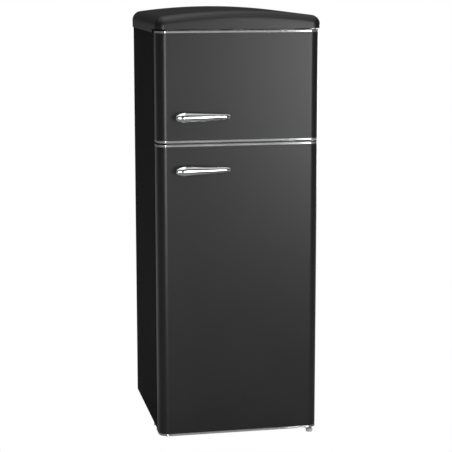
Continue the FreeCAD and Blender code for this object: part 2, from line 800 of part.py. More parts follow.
def build_door(name, low, high, rim_half, rim_low, rim_high, gasket_low, handle_level):
    """Skin, foam, liner with its rim, gasket, end trims, bushes and handle of one door."""
    skin_low, skin_high = f"({low} + dims.trim_height)", f"({high} - dims.trim_height)"
    liner_front = f"({DOOR_BACK} - dims.liner_wall)"
    rim_back = f"({DOOR_BACK} + dims.rim_depth)"

    panel = new_body(f"{name}_panel")
    prism(
        panel,
        "XY_Plane",
        [door_outline("0", liner_front)],
        skin_low,
        skin_high,
    )
    prism(
        panel,
        "XY_Plane",
        [door_outline("dims.sheet", f"{liner_front} + 1")],
        skin_low,
        skin_high,
        cut=True,
    )

    foam = new_body(f"{name}_foam")
    prism(foam, "XY_Plane", [door_outline("dims.sheet", liner_front)], skin_low, skin_high)
    channel = [
        rim_frame(rim_half, rim_low, rim_high, "2"),
        rect(
            f"-({rim_half}) + dims.rim_width - 2",
            f"{rim_low} + dims.rim_width - 2",
            f"{rim_half} - dims.rim_width + 2",
            f"{rim_high} - dims.rim_width + 2",
            "8",
        ),
    ]
    prism(foam, "XZ_Plane", channel, liner_front, f"{rim_back} - 2")

    liner = new_body(f"{name}_liner")
    prism(
        liner,
        "XZ_Plane",
        [rect(f"-({HALF})", skin_low, HALF, skin_high)],
        liner_front,
        DOOR_BACK,
    )
    rim = [
        rim_frame(rim_half, rim_low, rim_high, "0"),
        rim_frame(rim_half, rim_low, rim_high, "dims.rim_width"),
    ]
    prism(liner, "XZ_Plane", rim, DOOR_BACK, rim_back)
    prism(liner, "XZ_Plane", channel, liner_front, f"{rim_back} - 2", cut=True)

    gasket = new_body(f"{name}_gasket")
    outer_x = f"({HALF} - dims.gasket_inset)"
    outer = (gasket_low, f"({high} - 10)")
    thick = "dims.gasket_gap - 0.5"
    outline = [
        rect(neg(outer_x), outer[0], outer_x, outer[1], "10"),
        rect(
            f"-({outer_x} - dims.gasket_width)",
            f"{outer[0]} + dims.gasket_width",
            f"{outer_x} - dims.gasket_width",
            f"{outer[1]} - dims.gasket_width",
            "4",
        ),
    ]
    prism(gasket, "XZ_Plane", outline, DOOR_BACK, f"{DOOR_BACK} + {thick}")

    trims = new_body(f"{name}_trims")
    for end_low, end_high, inner_low, inner_high in (
        (low, skin_low, f"{low} + 2.5", skin_low),
        (skin_high, high, skin_high, f"{high} - 2.5"),
    ):
        proud = "-dims.trim_proud"
        prism(trims, "XY_Plane", [door_outline(proud, DOOR_BACK)], end_low, end_high)
        pocket_outline = door_outline("3", f"{DOOR_BACK} - 3")
        prism(trims, "XY_Plane", [pocket_outline], inner_low, inner_high, cut=True)
    prism(trims, "XY_Plane", [(AXIS_X, AXIS_Y, "dims.bush_radius")], low, high, cut=True)

    bushes = new_body(f"{name}_bushes")
    for mouth, direction in ((low, 1), (high, -1)):
        deep = f"({mouth} + {direction} * dims.bush_length)"
        ends = (mouth, deep) if direction > 0 else (deep, mouth)
        prism(bushes, "XY_Plane", [(AXIS_X, AXIS_Y, "dims.bush_radius")], *ends)
        floor = f"({mouth} + {direction} * (dims.bush_length - 3))"
        ends = (mouth, floor) if direction > 0 else (floor, mouth)
        bore = [(AXIS_X, AXIS_Y, "dims.pin_radius + dims.running_fit")]
        prism(bushes, "XY_Plane", bore, *ends, cut=True)
        reach = (skin_low, deep) if direction > 0 else (deep, skin_high)
        hole = [(AXIS_X, AXIS_Y, "dims.bush_radius")]
        prism(foam, "XY_Plane", hole, *reach, cut=True)

    build_handle(f"{name}_handle", handle_level)


# Stations of a handle from its nose: share of the length, height, stand-off of the back and front.
HANDLE_STATIONS = (
    (0.00, 12, 26, 33.5),
    (0.05, 23, 24, 36),
    (0.17, 33, 23, 38),
    (0.50, 27, 17, 31),
    (0.93, 20, 8, 21),
    (1.00, 17, 8, 17.5),
)
HANDLE_POSTS = ((0.16, 0.28), (0.86, 0.98))


def build_handle(label, level):
    """Chromed bar that tapers from a tall blunt nose to a slim end, on two posts."""
    body = new_body(label)
    sections = []
    for share, height, near, far in HANDLE_STATIONS:
        at = f"dims.handle_nose + {share} * dims.handle_length"
        sketch = new_sketch(body, "YZ_Plane", ("0", "0", at))
        scale = "dims.handle_proud / 38"
        back, front = f"{DOOR_FRONT} - {near} * {scale}", f"{DOOR_FRONT} - {far} * {scale}"
        radius = 0.2 * min(height, far - near)
        corners = [
            (back, f"{level} - 0.36 * {height}", radius),
            (front, f"{level} - 0.5 * {height}", radius),
            (front, f"{level} + 0.5 * {height}", radius),
            (back, f"{level} + 0.36 * {height}", radius),
        ]
        draw(sketch, [corners])
        sections.append(sketch)
    loft = body.newObject("PartDesign::AdditiveLoft", f"{label}_bar")
    loft.Profile = sections[0]
    loft.Sections = sections[1:]
    loft.Ruled = True
    for start, end in HANDLE_POSTS:
        middle = (start + end) / 2
        stand_off = 30 * (1 - middle) + 12 * middle
        block(
            body,
            (
                f"dims.handle_nose + {start} * dims.handle_length",
                f"dims.handle_nose + {end} * dims.handle_length",
            ),
            (f"{DOOR_FRONT} - {stand_off}", DOOR_FRONT),
            (f"{level} - 6", f"{level} + 6"),
            radius="4",
        )


def doors():
    build_door(
        "freezer_door",
        "dims.freezer_door_bottom",
        "dims.freezer_door_top",
        f"{FREEZER_IN} - 10",
        "dims.mullion_top + 8",
        "dims.freezer_ceiling - 8",
        "dims.freezer_door_bottom + 10",
        "dims.freezer_handle_level",
    )
    build_door(
        "fridge_door",
        "dims.fridge_door_bottom",
        "dims.fridge_door_top",
        f"{FRIDGE_IN} - 8",
        "dims.fridge_floor + 12",
        "dims.mullion_bottom - 8",
        "dims.fridge_door_bottom + 23",
        "dims.fridge_handle_level",
    )


def rack(body, half, low, height, depth):
    """An open bin that hangs between the sides of a door's rim."""
    wall = "dims.rack_wall"
    back, front = f"{DOOR_BACK} + 0.5", f"{DOOR_BACK} + {depth}"
    block(body, (f"-({half})", half), (back, front), (low, f"{low} + {height}"))
    block(
        body,
        (f"-({half}) + {wall}", f"{half} - {wall}"),
        (f"{back} + {wall}", f"{front} - {wall}"),
        (f"{low} + {wall}", f"{low} + {height}"),
        cut=True,
    )


def racks():
    freezer_half = f"({FREEZER_IN} - 10 - dims.rim_width - 0.5)"
    rack(new_body("freezer_door_rack"), freezer_half, "dims.freezer_rack_level", "70", "70")
    fridge_half = f"({FRIDGE_IN} - 8 - dims.rim_width - 0.5)"
    upper = new_body("fridge_door_racks")
    for low in ("dims.upper_rack_level", "dims.middle_rack_level"):
        rack(upper, fridge_half, low, "75", "86")
    rack(new_body("bottle_rack"), fridge_half, "dims.bottle_rack_level", "110", "90")


# ---------------------------------------------------------------- shelves and drawer


def fridge_shelves():
    """Three glass shelves and the glass over the crisper, all on the liner's ribs."""
    body = new_body("fridge_shelves")
    for i in range(4):
        level = f"dims.crisper_cover_level + {i} * dims.shelf_pitch"
        block(
            body,
            (f"-({FRIDGE_IN} - 2)", f"{FRIDGE_IN} - 2"),
            ("dims.shelf_front", f"{FRIDGE_BACK} - dims.liner_wall - 10"),
            (level, f"{level} + dims.shelf_glass"),
        )


def edge_profile(front, level):
    """A C-shaped edging that grips the front of a glass, seen from the side."""
    return [
        (f"{front} - 6", f"{level} - 3"),
        (f"{front} + 5", f"{level} - 3"),
        (f"{front} + 5", level),
        (front, level),
        (front, f"{level} + dims.shelf_glass"),
        (f"{front} + 5", f"{level} + dims.shelf_glass"),
        (f"{front} + 5", f"{level} + dims.shelf_glass + 2"),
        (f"{front} - 6", f"{level} + dims.shelf_glass + 4"),
    ]


def shelf_edge_trims():
    body = new_body("shelf_edge_trims")
    half = f"({FRIDGE_IN} - 2)"
    for i in range(4):
        level = f"(dims.crisper_cover_level + {i} * dims.shelf_pitch)"
        prism(body, "YZ_Plane", [edge_profile("dims.shelf_front", level)], neg(half), half)


def freezer_shelf():
    """One moulded grid shelf across the freezer."""
    body = new_body("freezer_shelf")
    level = "dims.freezer_shelf_level"
    half = f"({FREEZER_IN} - 2)"
    front, back = "-112", f"({FREEZER_BACK} - dims.liner_wall - 12)"
    block(body, (neg(half), half), (front, back), (level, f"{level} + 6"))
    slots = 11
    for i in range(slots):
        x = f"(-{half} + 14 + ({i} + 0.5) * 2 * ({half} - 14) / {slots})"
        block(
            body,
            (f"{x} - 13", f"{x} + 13"),
            (f"{front} + 16", f"{back} - 12"),
            (level, f"{level} + 6"),
            cut=True,
        )


def crisper_drawer():
    """Salad drawer: deep in front, shallow where it runs over the step of the tub."""
    body = new_body("crisper_drawer")
    half, wall = "dims.crisper_half", "dims.crisper_wall"
    front, back = "-98", "190"
    low, high = "dims.fridge_floor + dims.liner_wall + 2", "dims.crisper_cover_level - 14"
    step_y, step_z = "dims.step_front - dims.liner_wall - 8", "dims.step_top + dims.liner_wall + 2"

    def side(inset, top):
        return [
            (f"{front} + {inset}", f"{low} + {inset}", 8),
            (f"{step_y} - {inset}", f"{low} + {inset}", 8),
            (f"{step_y} - {inset}", f"{step_z} + {inset}", 8),
            (f"{back} - {inset}", f"{step_z} + {inset}", 8),
            (f"{back} - {inset}", top),
            (f"{front} + {inset}", top),
        ]

    prism(body, "YZ_Plane", [side("0", high)], neg(half), half)
    prism(
        body,
        "YZ_Plane",
        [side(wall, f"{high} + 5")],
        f"-({half}) + {wall}",
        f"{half} - {wall}",
        cut=True,
    )
    grip = [
        (f"{front} + 1", f"{high} - 26"),
        (f"{front} + 1", f"{high} - 4"),
        (f"{front} - 6", f"{high} - 4", 2),
        (f"{front} - 6", f"{high} - 14", 2),
    ]
    prism(body, "YZ_Plane", [grip], "-60", "60")


# ---------------------------------------------------------------- lamp, thermostat and switch

HOUSING_FACE = "140"
HOUSING_FRONT = f"({FRONT} + 40)"
KNOB_Y, KNOB_Z = "-105", "(dims.mullion_bottom - 38)"
SWITCH_X, SWITCH_Z = "200", "(dims.mullion_bottom - 15)"


def thermostat_housing():
    """White box in the top right corner of the fridge for the thermostat, lamp and door switch."""
    body = new_body("thermostat_housing")
    low, high = "dims.mullion_bottom - 75", "dims.mullion_bottom - dims.liner_wall"
    block(body, (HOUSING_FACE, FRIDGE_IN), (HOUSING_FRONT, "60"), (low, high))
    round_edges(body, "4", lambda edge: along(edge, Vector(0, 1, 0)) and edge.BoundBox.XMax < 150)
    block(body, (HOUSING_FACE, "185"), ("-60", "50"), (f"{low} + 8", f"{high} - 8"), cut=True)
    shaft = [(KNOB_Y, KNOB_Z, "3.1")]
    prism(body, "YZ_Plane", shaft, HOUSING_FACE, "165", cut=True)
    guide = [(SWITCH_X, SWITCH_Z, "5.3")]
    prism(body, "XZ_Plane", guide, HOUSING_FRONT, f"{HOUSING_FRONT} + 22", cut=True)


def lamp_cover():
    """Frosted window over the lamp."""
    body = new_body("lamp_cover")
    low, high = "dims.mullion_bottom - 69", "dims.mullion_bottom - 7.5"
    block(body, ("122", HOUSING_FACE), ("-62", "52"), (low, high))
    block(
        body,
        ("124", HOUSING_FACE),
        ("-60", "50"),
        (f"{low} + 2", f"{high} - 2"),
        cut=True,
    )


def lamp_bulb():
    """Small screw-in lamp that lies along the housing."""
    body = new_body("lamp_bulb")
    profile = [
        ("-34", "0"),
        ("-34", "11", 8),
        ("0", "11", 5),
        ("12", "7"),
        ("12", "8"),
        ("40", "8"),
        ("40", "0"),
    ]
    body_sketch = new_sketch(body, "YZ_Plane", ("0", "dims.mullion_bottom - 38", "158"))
    draw(body_sketch, [profile])
    feature = body.newObject("PartDesign::Revolution", "lamp_bulb_turned")
    feature.Profile = body_sketch
    feature.ReferenceAxis = (body_sketch, ["H_Axis"])
    feature.Angle = 360


def thermostat_knob():
    """Fluted dial with a pointer, on a shaft into the housing."""
    body = new_body("thermostat_knob")
    face = f"({HOUSING_FACE} - 0.4)"
    prism(body, "YZ_Plane", [(KNOB_Y, KNOB_Z, "18")], f"{face} - 6", face)
    prism(body, "YZ_Plane", [(KNOB_Y, KNOB_Z, "13")], f"{face} - 17", f"{face} - 6")
    prism(body, "YZ_Plane", [(KNOB_Y, KNOB_Z, "3")], face, "160")
    pointer = rect(f"{KNOB_Y} - 1.5", f"{KNOB_Z} + 11", f"{KNOB_Y} + 1.5", f"{KNOB_Z} + 17")
    prism(body, "YZ_Plane", [pointer], f"{face} - 8", f"{face} - 6")
    flutes = 12
    for i in range(flutes):
        turn_angle = f"{360 / flutes * i}deg"
        centre = (
            f"{KNOB_Y} + 13.8 * cos({turn_angle})",
            f"{KNOB_Z} + 13.8 * sin({turn_angle})",
            "1.8",
        )
        prism(body, "YZ_Plane", [centre], f"{face} - 17", f"{face} - 8.5", cut=True)


def light_switch_button():
    """Plunger that the door's rim holds in while the door is shut."""
    body = new_body("light_switch_button")
    tip = f"({DOOR_BACK} + dims.rim_depth + 0.5)"
    stem = [(SWITCH_X, SWITCH_Z, "5")]
    prism(body, "XZ_Plane", stem, tip, f"{HOUSING_FRONT} + 14")
    round_edges(body, "2", lambda edge: abs(edge.BoundBox.YMax - num(tip)) < 0.01)


# ---------------------------------------------------------------- base, feet and rollers

FOOT_LEFT_X = f"-({HALF} - 36)"
FOOT_LEFT_Y = f"({FRONT} + 45)"
ROLLER_Y = f"({BACK} - dims.roller_setback)"
RAIL_X = f"({INNER} - 30)"


def front_base_rail():
    """Steel cross rail under the front, with the threaded collar of the left foot."""
    body = new_body("front_base_rail")
    low, high = "dims.cabinet_bottom - dims.plate", "dims.cabinet_bottom"
    foot = (FOOT_LEFT_X, FOOT_LEFT_Y)
    stud = "dims.stud_radius + dims.running_fit"
    block(body, (neg(INNER), INNER), (f"{FRONT} + 10", f"{FRONT} + 70"), (low, high))
    for y0 in (f"{FRONT} + 10", f"{FRONT} + 70 - dims.plate"):
        block(
            body,
            (neg(INNER), INNER),
            (y0, f"{y0} + dims.plate"),
            (f"{low} - 9", low),
        )
    prism(body, "XY_Plane", [(*foot, "8")], "dims.foot_pad + 1", low)
    prism(body, "XY_Plane", [(*foot, stud)], "dims.foot_pad + 1", high, cut=True)


def front_foot(label, x, y, stud_top):
    """Levelling foot: a round pad with grip notches on a threaded stud."""
    body = new_body(label)
    pad_profile = [
        ("0", "0"),
        ("dims.foot_radius - 1", "0", "1"),
        ("dims.foot_radius", "3"),
        ("dims.foot_radius", "dims.foot_pad", "1.5"),
        ("dims.stud_radius", "dims.foot_pad"),
        ("dims.stud_radius", f"{stud_top} - 1"),
        ("dims.stud_radius - 1", stud_top),
        ("0", stud_top),
    ]
    turn(body, "XZ_Plane", (x, "0", neg(y)), pad_profile, "V_Axis")
    notches = 6
    for i in range(notches):
        angle = f"{360 / notches * i}deg"
        notch = (
            f"{x} + (dims.foot_radius + 0.6) * cos({angle})",
            f"{y} + (dims.foot_radius + 0.6) * sin({angle})",
            "1.6",
        )
        prism(body, "XY_Plane", [notch], "4", "dims.foot_pad", cut=True)


def compressor_tray():
    """Bent steel tray across the back that carries the compressor and the rollers' axles."""
    body = new_body("compressor_tray")
    low, high = "35", "37"
    front, back = "dims.machine_front + 6", f"({BACK} - 2)"
    block(body, (neg(RAIL_X), RAIL_X), (front, back), (low, high))
    for edge in (front, f"{back} - 2"):
        block(body, (neg(RAIL_X), RAIL_X), (edge, f"{edge} + 2"), (high, f"{high} + 14"))
    flanges = (
        (neg(RAIL_X), f"-{RAIL_X} + 2"),
        (f"{RAIL_X} - 2", RAIL_X),
    )
    for flange in flanges:
        block(body, flange, (f"{ROLLER_Y} - 26", f"{ROLLER_Y} + 26"), ("14", low))
    wings = (
        (neg(INNER), f"-{RAIL_X}"),
        (RAIL_X, INNER),
    )
    for wing in wings:
        block(body, wing, (front, f"{ROLLER_Y} - 30"), (low, high))
    shaft = [(ROLLER_Y, "dims.roller_radius", "4")]
    prism(body, "YZ_Plane", shaft, neg(RAIL_X), RAIL_X, cut=True)
    holes = [(f"{cx}", f"{cy}", "4") for cx, cy in compressor_feet()]
    prism(body, "XY_Plane", holes, low, high, cut=True)


COMPRESSOR_X, COMPRESSOR_Y = "dims.compressor_x", "dims.compressor_y"


def compressor_feet():
    return [
        (f"{COMPRESSOR_X} + {sx} * 80", f"{COMPRESSOR_Y} + {sy} * 52")
        for sx in (-1, 1)
        for sy in (-1, 1)
    ]


def compressor():
    """Sealed motor-compressor: two pressed half shells with a welded seam, on a four-legged plate."""
    body = new_body("compressor")
    base = "dims.compressor_base"
    profile = [
        ("0", base),
        ("58", base, 22),
        ("70", f"{base} + 52", 4),
        ("74", f"{base} + 56"),
        ("74", f"{base} + 62"),
        ("70", f"{base} + 66", 4),
        ("66", f"{base} + 134", 30),
        ("0", f"{base} + 134"),
    ]
    turn(body, "XZ_Plane", (COMPRESSOR_X, "0", neg(COMPRESSOR_Y)), profile, "V_Axis")
    corners = rect(
        f"{COMPRESSOR_X} - 90",
        f"{COMPRESSOR_Y} - 62",
        f"{COMPRESSOR_X} + 90",
        f"{COMPRESSOR_Y} + 62",
        "12",
    )
    prism(body, "XY_Plane", [corners], f"{base} - 3", f"{base} + 1")
    holes = [(x, y, "5") for x, y in compressor_feet()]
    prism(body, "XY_Plane", holes, f"{base} - 3", f"{base} + 1", cut=True)


def compressor_grommets():
    """Rubber mounts under the compressor's four feet, each on its steel sleeve."""
    body = new_body("compressor_grommets")
    for x, y in compressor_feet():
        prism(body, "XY_Plane", [(x, y, "10")], "37", "47")
        prism(body, "XY_Plane", [(x, y, "4.9")], "47", "54")
        prism(body, "XY_Plane", [(x, y, "3.9")], "33", "37")


def compressor_relay_box():
    body = new_body("compressor_relay_box")
    block(
        body,
        (f"{COMPRESSOR_X} - 112", f"{COMPRESSOR_X} - 75"),
        (f"{COMPRESSOR_Y} - 26", f"{COMPRESSOR_Y} + 26"),
        ("72", "132"),
        radius="4",
    )


def drip_tray():
    """Shallow tray on the compressor's top, where its heat dries the melt water."""
    body = new_body("drip_tray")
    x = (f"{COMPRESSOR_X} - 60", f"{COMPRESSOR_X} + 60")
    y = (f"{COMPRESSOR_Y} - 50", f"{COMPRESSOR_Y} + 50")
    block(body, x, y, ("184.5", "200"), radius="10")
    inner_x, inner_y = (f"{x[0]} + 2", f"{x[1]} - 2"), (f"{y[0]} + 2", f"{y[1]} - 2")
    block(body, inner_x, inner_y, ("186.5", "200"), cut=True, radius="8")


def drain_tube():
    """Carries melt water from the tub through the foam to the drip tray."""
    body = new_body("drain_tube")
    x, y, _ = drain_hole("0")
    prism(body, "XY_Plane", [(x, y, "7.5"), (x, y, "5.5")], "192", "dims.step_top")


def roller_axles():
    """Stub axles through the tray's flanges, each with a head outside its roller."""
    body = new_body("roller_axles")
    for side in (-1, 1):
        inner = f"({RAIL_X} - 6)"
        outer = f"({RAIL_X} + dims.roller_width + 2)"
        for radius, start, end in (("4", inner, outer), ("6", outer, f"{outer} + 2")):
            ends = (start, end) if side > 0 else (neg(end), neg(start))
            prism(body, "YZ_Plane", [(ROLLER_Y, "dims.roller_radius", radius)], *ends)


def rear_roller(label, side):
    """Plastic roller with a rounded tread."""
    body = new_body(label)
    near, far = f"({RAIL_X} + 1)", f"({RAIL_X} + 1 + dims.roller_width)"
    ends = (near, far) if side > 0 else (neg(far), neg(near))
    bore = "4 + dims.running_fit"
    profile = [
        (ends[0], bore),
        (ends[1], bore),
        (ends[1], "dims.roller_radius", "2"),
        (ends[0], "dims.roller_radius", "2"),
    ]
    turn(body, "XZ_Plane", ("0", "dims.roller_radius", neg(ROLLER_Y)), profile, "H_Axis")


# ---------------------------------------------------------------- refrigerant circuit

COIL_Y = f"({BACK} + dims.coil_stand_off)"
COIL_HALF, COIL_LOW, COIL_RUNS, COIL_PITCH = 232, 270, 15, 70
COIL_RADIUS, WIRE_RADIUS = 2.4, 0.8
WIRES = 24
BRACKET_X, BRACKET_WIDTH = 205, 7


def condenser_coil():
    """Black serpentine tube across the back, bent in half circles at its ends."""
    y = num(COIL_Y)
    points = [(-COIL_HALF + 30, y, COIL_LOW)]
    for i in range(COIL_RUNS):
        level = COIL_LOW + i * COIL_PITCH
        end = COIL_HALF if i % 2 == 0 else -COIL_HALF
        if i == COIL_RUNS - 1:
            points.append((end - 30 * (1 if end > 0 else -1), y, level))
            break
        points.append((end, y, level))
        points.append((end, y, level + COIL_PITCH))
    shape_feature("condenser_coil", bent_tube(points, COIL_RADIUS, 20))


def condenser_wires():
    """Upright wires welded to both sides of the coil."""
    body = new_body("condenser_wires")
    low, high = COIL_LOW - 20, COIL_LOW + (COIL_RUNS - 1) * COIL_PITCH + 20
    for i in range(WIRES):
        x = (i - (WIRES - 1) / 2) * 2 * (COIL_HALF - 35) / (WIRES - 1)
        for side in (-1, 1):
            y = f"{COIL_Y} + {side * (COIL_RADIUS + WIRE_RADIUS + 0.02)}"
            prism(body, "XY_Plane", [(x, y, WIRE_RADIUS)], low, high)


def condenser_brackets():
    """Four clips that hold the coil off the back; their tips keep the fridge off the wall."""
    body = new_body("condenser_brackets")
    for x in (-BRACKET_X, BRACKET_X):
        for level in (COIL_LOW + 2 * COIL_PITCH, COIL_LOW + 12 * COIL_PITCH):
            prism(
                body,
                "YZ_Plane",
                [
                    [
                        (BACK, f"{level} - 9"),
                        ("dims.overall_depth / 2", f"{level} - 9", 2),
                        ("dims.overall_depth / 2", f"{level} + 9", 2),
                        (BACK, f"{level} + 9"),
                    ],
                    (COIL_Y, level, COIL_RADIUS + 0.05),
                ],
                x - BRACKET_WIDTH / 2,
                x + BRACKET_WIDTH / 2,
            )


def filter_drier():
    """Copper cartridge before the capillary tube."""
    body = new_body("filter_drier")
    profile = [
        ("0", "70"),
        ("3", "70"),
        ("3", "78"),
        ("9", "86", 2),
        ("9", "152", 2),
        ("3", "160"),
        ("3", "168"),
        ("0", "168"),
    ]
    turn(body, "XZ_Plane", ("dims.drier_x", "0", neg("dims.drier_y")), profile, "V_Axis")


def refrigerant_pipes():
    """Discharge pipe to the coil, pipe from the coil to the drier, capillary and suction pipe."""
    coil_y, wall_y = num(COIL_Y), num(BACK)
    top = COIL_LOW + (COIL_RUNS - 1) * COIL_PITCH
    centre_x, centre_y = num(COMPRESSOR_X), num(COMPRESSOR_Y)
    drier_x, drier_y = num("dims.drier_x"), num("dims.drier_y")
    right_x, outer_x = centre_x + 138, COIL_HALF + 12
    discharge = bent_tube(
        [
            (centre_x + 68.2, centre_y, 90),
            (right_x, centre_y, 90),
            (right_x, centre_y, 150),
            (right_x, coil_y, 150),
            (outer_x, coil_y, 190),
            (outer_x, coil_y, top),
            (COIL_HALF - 30, coil_y, top),
        ],
        COIL_RADIUS,
        8,
    )
    liquid = bent_tube(
        [
            (-COIL_HALF + 30, coil_y, COIL_LOW),
            (-COIL_HALF - 4, coil_y, COIL_LOW),
            (-COIL_HALF - 4, coil_y, 182),
            (drier_x, coil_y, 182),
            (drier_x, drier_y, 182),
            (drier_x, drier_y, 168),
        ],
        COIL_RADIUS,
        6,
    )
    capillary = bent_tube(
        [
            (drier_x, drier_y, 70),
            (drier_x, drier_y, 58),
            (drier_x, coil_y, 58),
            (-100, coil_y, 58),
            (-100, coil_y, 236),
            (-100, wall_y, 236),
        ],
        1.1,
        5,
    )
    suction = bent_tube(
        [
            (-90, wall_y, 232),
            (-90, coil_y, 232),
            (-90, coil_y, 125),
            (centre_x, coil_y, 125),
            (centre_x, centre_y + 70.4, 125),
        ],
        3,
        8,
    )
    pipes = Part.Compound([discharge, liquid, capillary, suction])
    shape_feature("refrigerant_pipes", pipes)


def mains_inlet():
    """Moulded grommet in the back of the machine room where the supply lead would enter."""
    body = new_body("mains_inlet")
    x, z = "-195", "120"
    prism(body, "XZ_Plane", [rect("-215", "100", "-175", "140", "4")], f"{BACK} - 30", f"{BACK} - 4")
    prism(body, "XZ_Plane", [(x, z, "8")], f"{BACK} - 4", f"{BACK} + 2")
    prism(body, "XZ_Plane", [(x, z, "3.6")], f"{BACK} - 24", f"{BACK} + 2", cut=True)


# ---------------------------------------------------------------- assembly

side_panel("side_panel_left", "-1")
side_panel("side_panel_right", "1")
top_sheet()
back_panel()
bottom_sheet()
insulation_foam()
evaporator_plates()
fridge_liner()
freezer_liner()
mullion_strip()
top_cover()
top_hinge_bracket()
middle_hinge_bracket()
bottom_hinge_bracket()
hinge_pins()
hinge_screws()
doors()
racks()
fridge_shelves()
shelf_edge_trims()
freezer_shelf()
crisper_drawer()
thermostat_housing()
lamp_cover()
lamp_bulb()
thermostat_knob()
light_switch_button()
front_base_rail()
front_foot("front_foot_left", FOOT_LEFT_X, FOOT_LEFT_Y, "dims.cabinet_bottom")
front_foot("front_foot_right", AXIS_X, AXIS_Y, f"{BOTTOM_TONGUE} - 0.2")
compressor_tray()
compressor()
compressor_grommets()
compressor_relay_box()
drip_tray()
drain_tube()
roller_axles()
rear_roller("rear_roller_left", -1)
rear_roller("rear_roller_right", 1)
condenser_coil()
condenser_wires()
condenser_brackets()
filter_drier()
refrigerant_pipes()
mains_inlet()

doc.recompute()
failed = [o.Label for o in doc.Objects if {"Invalid", "Error"} & set(o.State)]
if failed:
    raise RuntimeError(f"failed objects: {failed}")
for part in subparts:
    if part.Shape.isNull() or not part.Shape.isValid():
        raise RuntimeError(f"bad shape: {part.Label}")

os.makedirs("parts", exist_ok=True)
for part in subparts:
    part.Shape.exportStep(f"parts/{part.Label}.step")
    box = part.Shape.BoundBox
    print(
        f"{part.Label}: {len(part.Shape.Solids)} solids, "
        f"x {box.XMin:.1f}..{box.XMax:.1f} y {box.YMin:.1f}..{box.YMax:.1f} "
        f"z {box.ZMin:.1f}..{box.ZMax:.1f} mm, {part.Shape.Volume / 1000:.1f} cm3"
    )
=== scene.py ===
import math

import bmesh
import bpy
from mathutils import Euler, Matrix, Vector


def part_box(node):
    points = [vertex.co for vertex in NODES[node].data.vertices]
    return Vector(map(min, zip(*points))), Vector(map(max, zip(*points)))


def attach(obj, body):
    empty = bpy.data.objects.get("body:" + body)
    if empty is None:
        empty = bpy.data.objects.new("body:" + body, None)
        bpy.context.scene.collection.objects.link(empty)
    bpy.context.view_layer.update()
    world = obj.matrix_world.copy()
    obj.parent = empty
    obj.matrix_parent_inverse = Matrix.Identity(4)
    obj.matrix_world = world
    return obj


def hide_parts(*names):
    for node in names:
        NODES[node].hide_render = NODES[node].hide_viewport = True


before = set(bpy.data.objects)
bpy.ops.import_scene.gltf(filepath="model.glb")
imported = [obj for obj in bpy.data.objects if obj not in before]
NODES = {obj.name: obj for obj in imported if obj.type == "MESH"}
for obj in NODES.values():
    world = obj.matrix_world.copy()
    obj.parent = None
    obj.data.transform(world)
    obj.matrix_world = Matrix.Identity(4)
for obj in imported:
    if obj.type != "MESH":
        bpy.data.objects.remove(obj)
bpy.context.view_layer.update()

MM = 0.001
QUARTER = math.pi / 2

# ---------------------------------------------------------------- sizes that the CAD frame gives

DOORS = ("freezer_door", "fridge_door")
PANEL = {door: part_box(f"{door}_panel") for door in DOORS}
TRIMS = {door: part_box(f"{door}_trims") for door in DOORS}
DOOR_HALF = PANEL["fridge_door"][1].x
DOOR_FACE = PANEL["fridge_door"][0].y
DOOR_BACK = TRIMS["fridge_door"][1].y
CABINET_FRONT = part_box("side_panel_left")[0].y
CABINET_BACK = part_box("side_panel_left")[1].y
CABINET_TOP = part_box("side_panel_left")[1].z
DOOR_ROUND = 32.7 * MM

# ---------------------------------------------------------------- node materials


class Shader:
    """A Principled material with helpers for the noise that its look is made of."""

    def __init__(self, name, **constants):
        self.material = bpy.data.materials.new(name)
        self.material.use_nodes = True
        self.tree = self.material.node_tree
        self.bsdf = self.tree.nodes["Principled BSDF"]
        self.place = self.tree.nodes.new("ShaderNodeTexCoord").outputs["Object"]
        self.normal = None
        for socket, value in constants.items():
            self.bsdf.inputs[socket.replace("_", " ")].default_value = value

    def node(self, kind, links=None, **settings):
        made = self.tree.nodes.new(kind)
        for name, value in settings.items():
            setattr(made, name, value)
        for socket, source in (links or {}).items():
            if isinstance(source, bpy.types.NodeSocket):
                self.tree.links.new(source, made.inputs[socket])
            else:
                made.inputs[socket].default_value = source
        return made

    def stretched(self, scale):
        """Coordinates squeezed along each axis, for grain that runs one way."""
        return self.node("ShaderNodeMapping", {"Vector": self.place, "Scale": scale}).outputs[0]

    def noise(self, scale, detail=3.0, rough=0.55, place=None):
        links = {"Vector": place or self.place, "Scale": scale, "Detail": detail, "Roughness": rough}
        return self.node("ShaderNodeTexNoise", links).outputs["Fac"]

    def cells(self, scale, feature="F1", place=None):
        links = {"Vector": place or self.place, "Scale": scale}
        return self.node("ShaderNodeTexVoronoi", links, feature=feature)

    def remap(self, source, low, high, to_low, to_high):
        links = {
            "Value": source,
            "From Min": low,
            "From Max": high,
            "To Min": to_low,
            "To Max": to_high,
        }
        return self.node("ShaderNodeMapRange", links).outputs[0]

    def mix(self, factor, first, second):
        made = self.node("ShaderNodeMix", data_type="RGBA")
        for index, source in ((0, factor), (6, first), (7, second)):
            if isinstance(source, bpy.types.NodeSocket):
                self.tree.links.new(source, made.inputs[index])
            else:
                made.inputs[index].default_value = source
        return made.outputs[2]

    def colour(self, source):
        self.tree.links.new(source, self.bsdf.inputs["Base Color"])

    def roughness(self, source):
        self.tree.links.new(source, self.bsdf.inputs["Roughness"])

    def bump(self, height, distance, strength=1.0):
        """Adds one more layer of relief, its height in metres."""
        links = {"Height": height, "Distance": distance, "Strength": strength}
        if self.normal:
            links["Normal"] = self.normal
        self.normal = self.node("ShaderNodeBump", links).outputs[0]
        self.tree.links.new(self.normal, self.bsdf.inputs["Normal"])


def grey(value, tint=(1.0, 1.0, 1.0)):
    return (value * tint[0], value * tint[1], value * tint[2], 1.0)


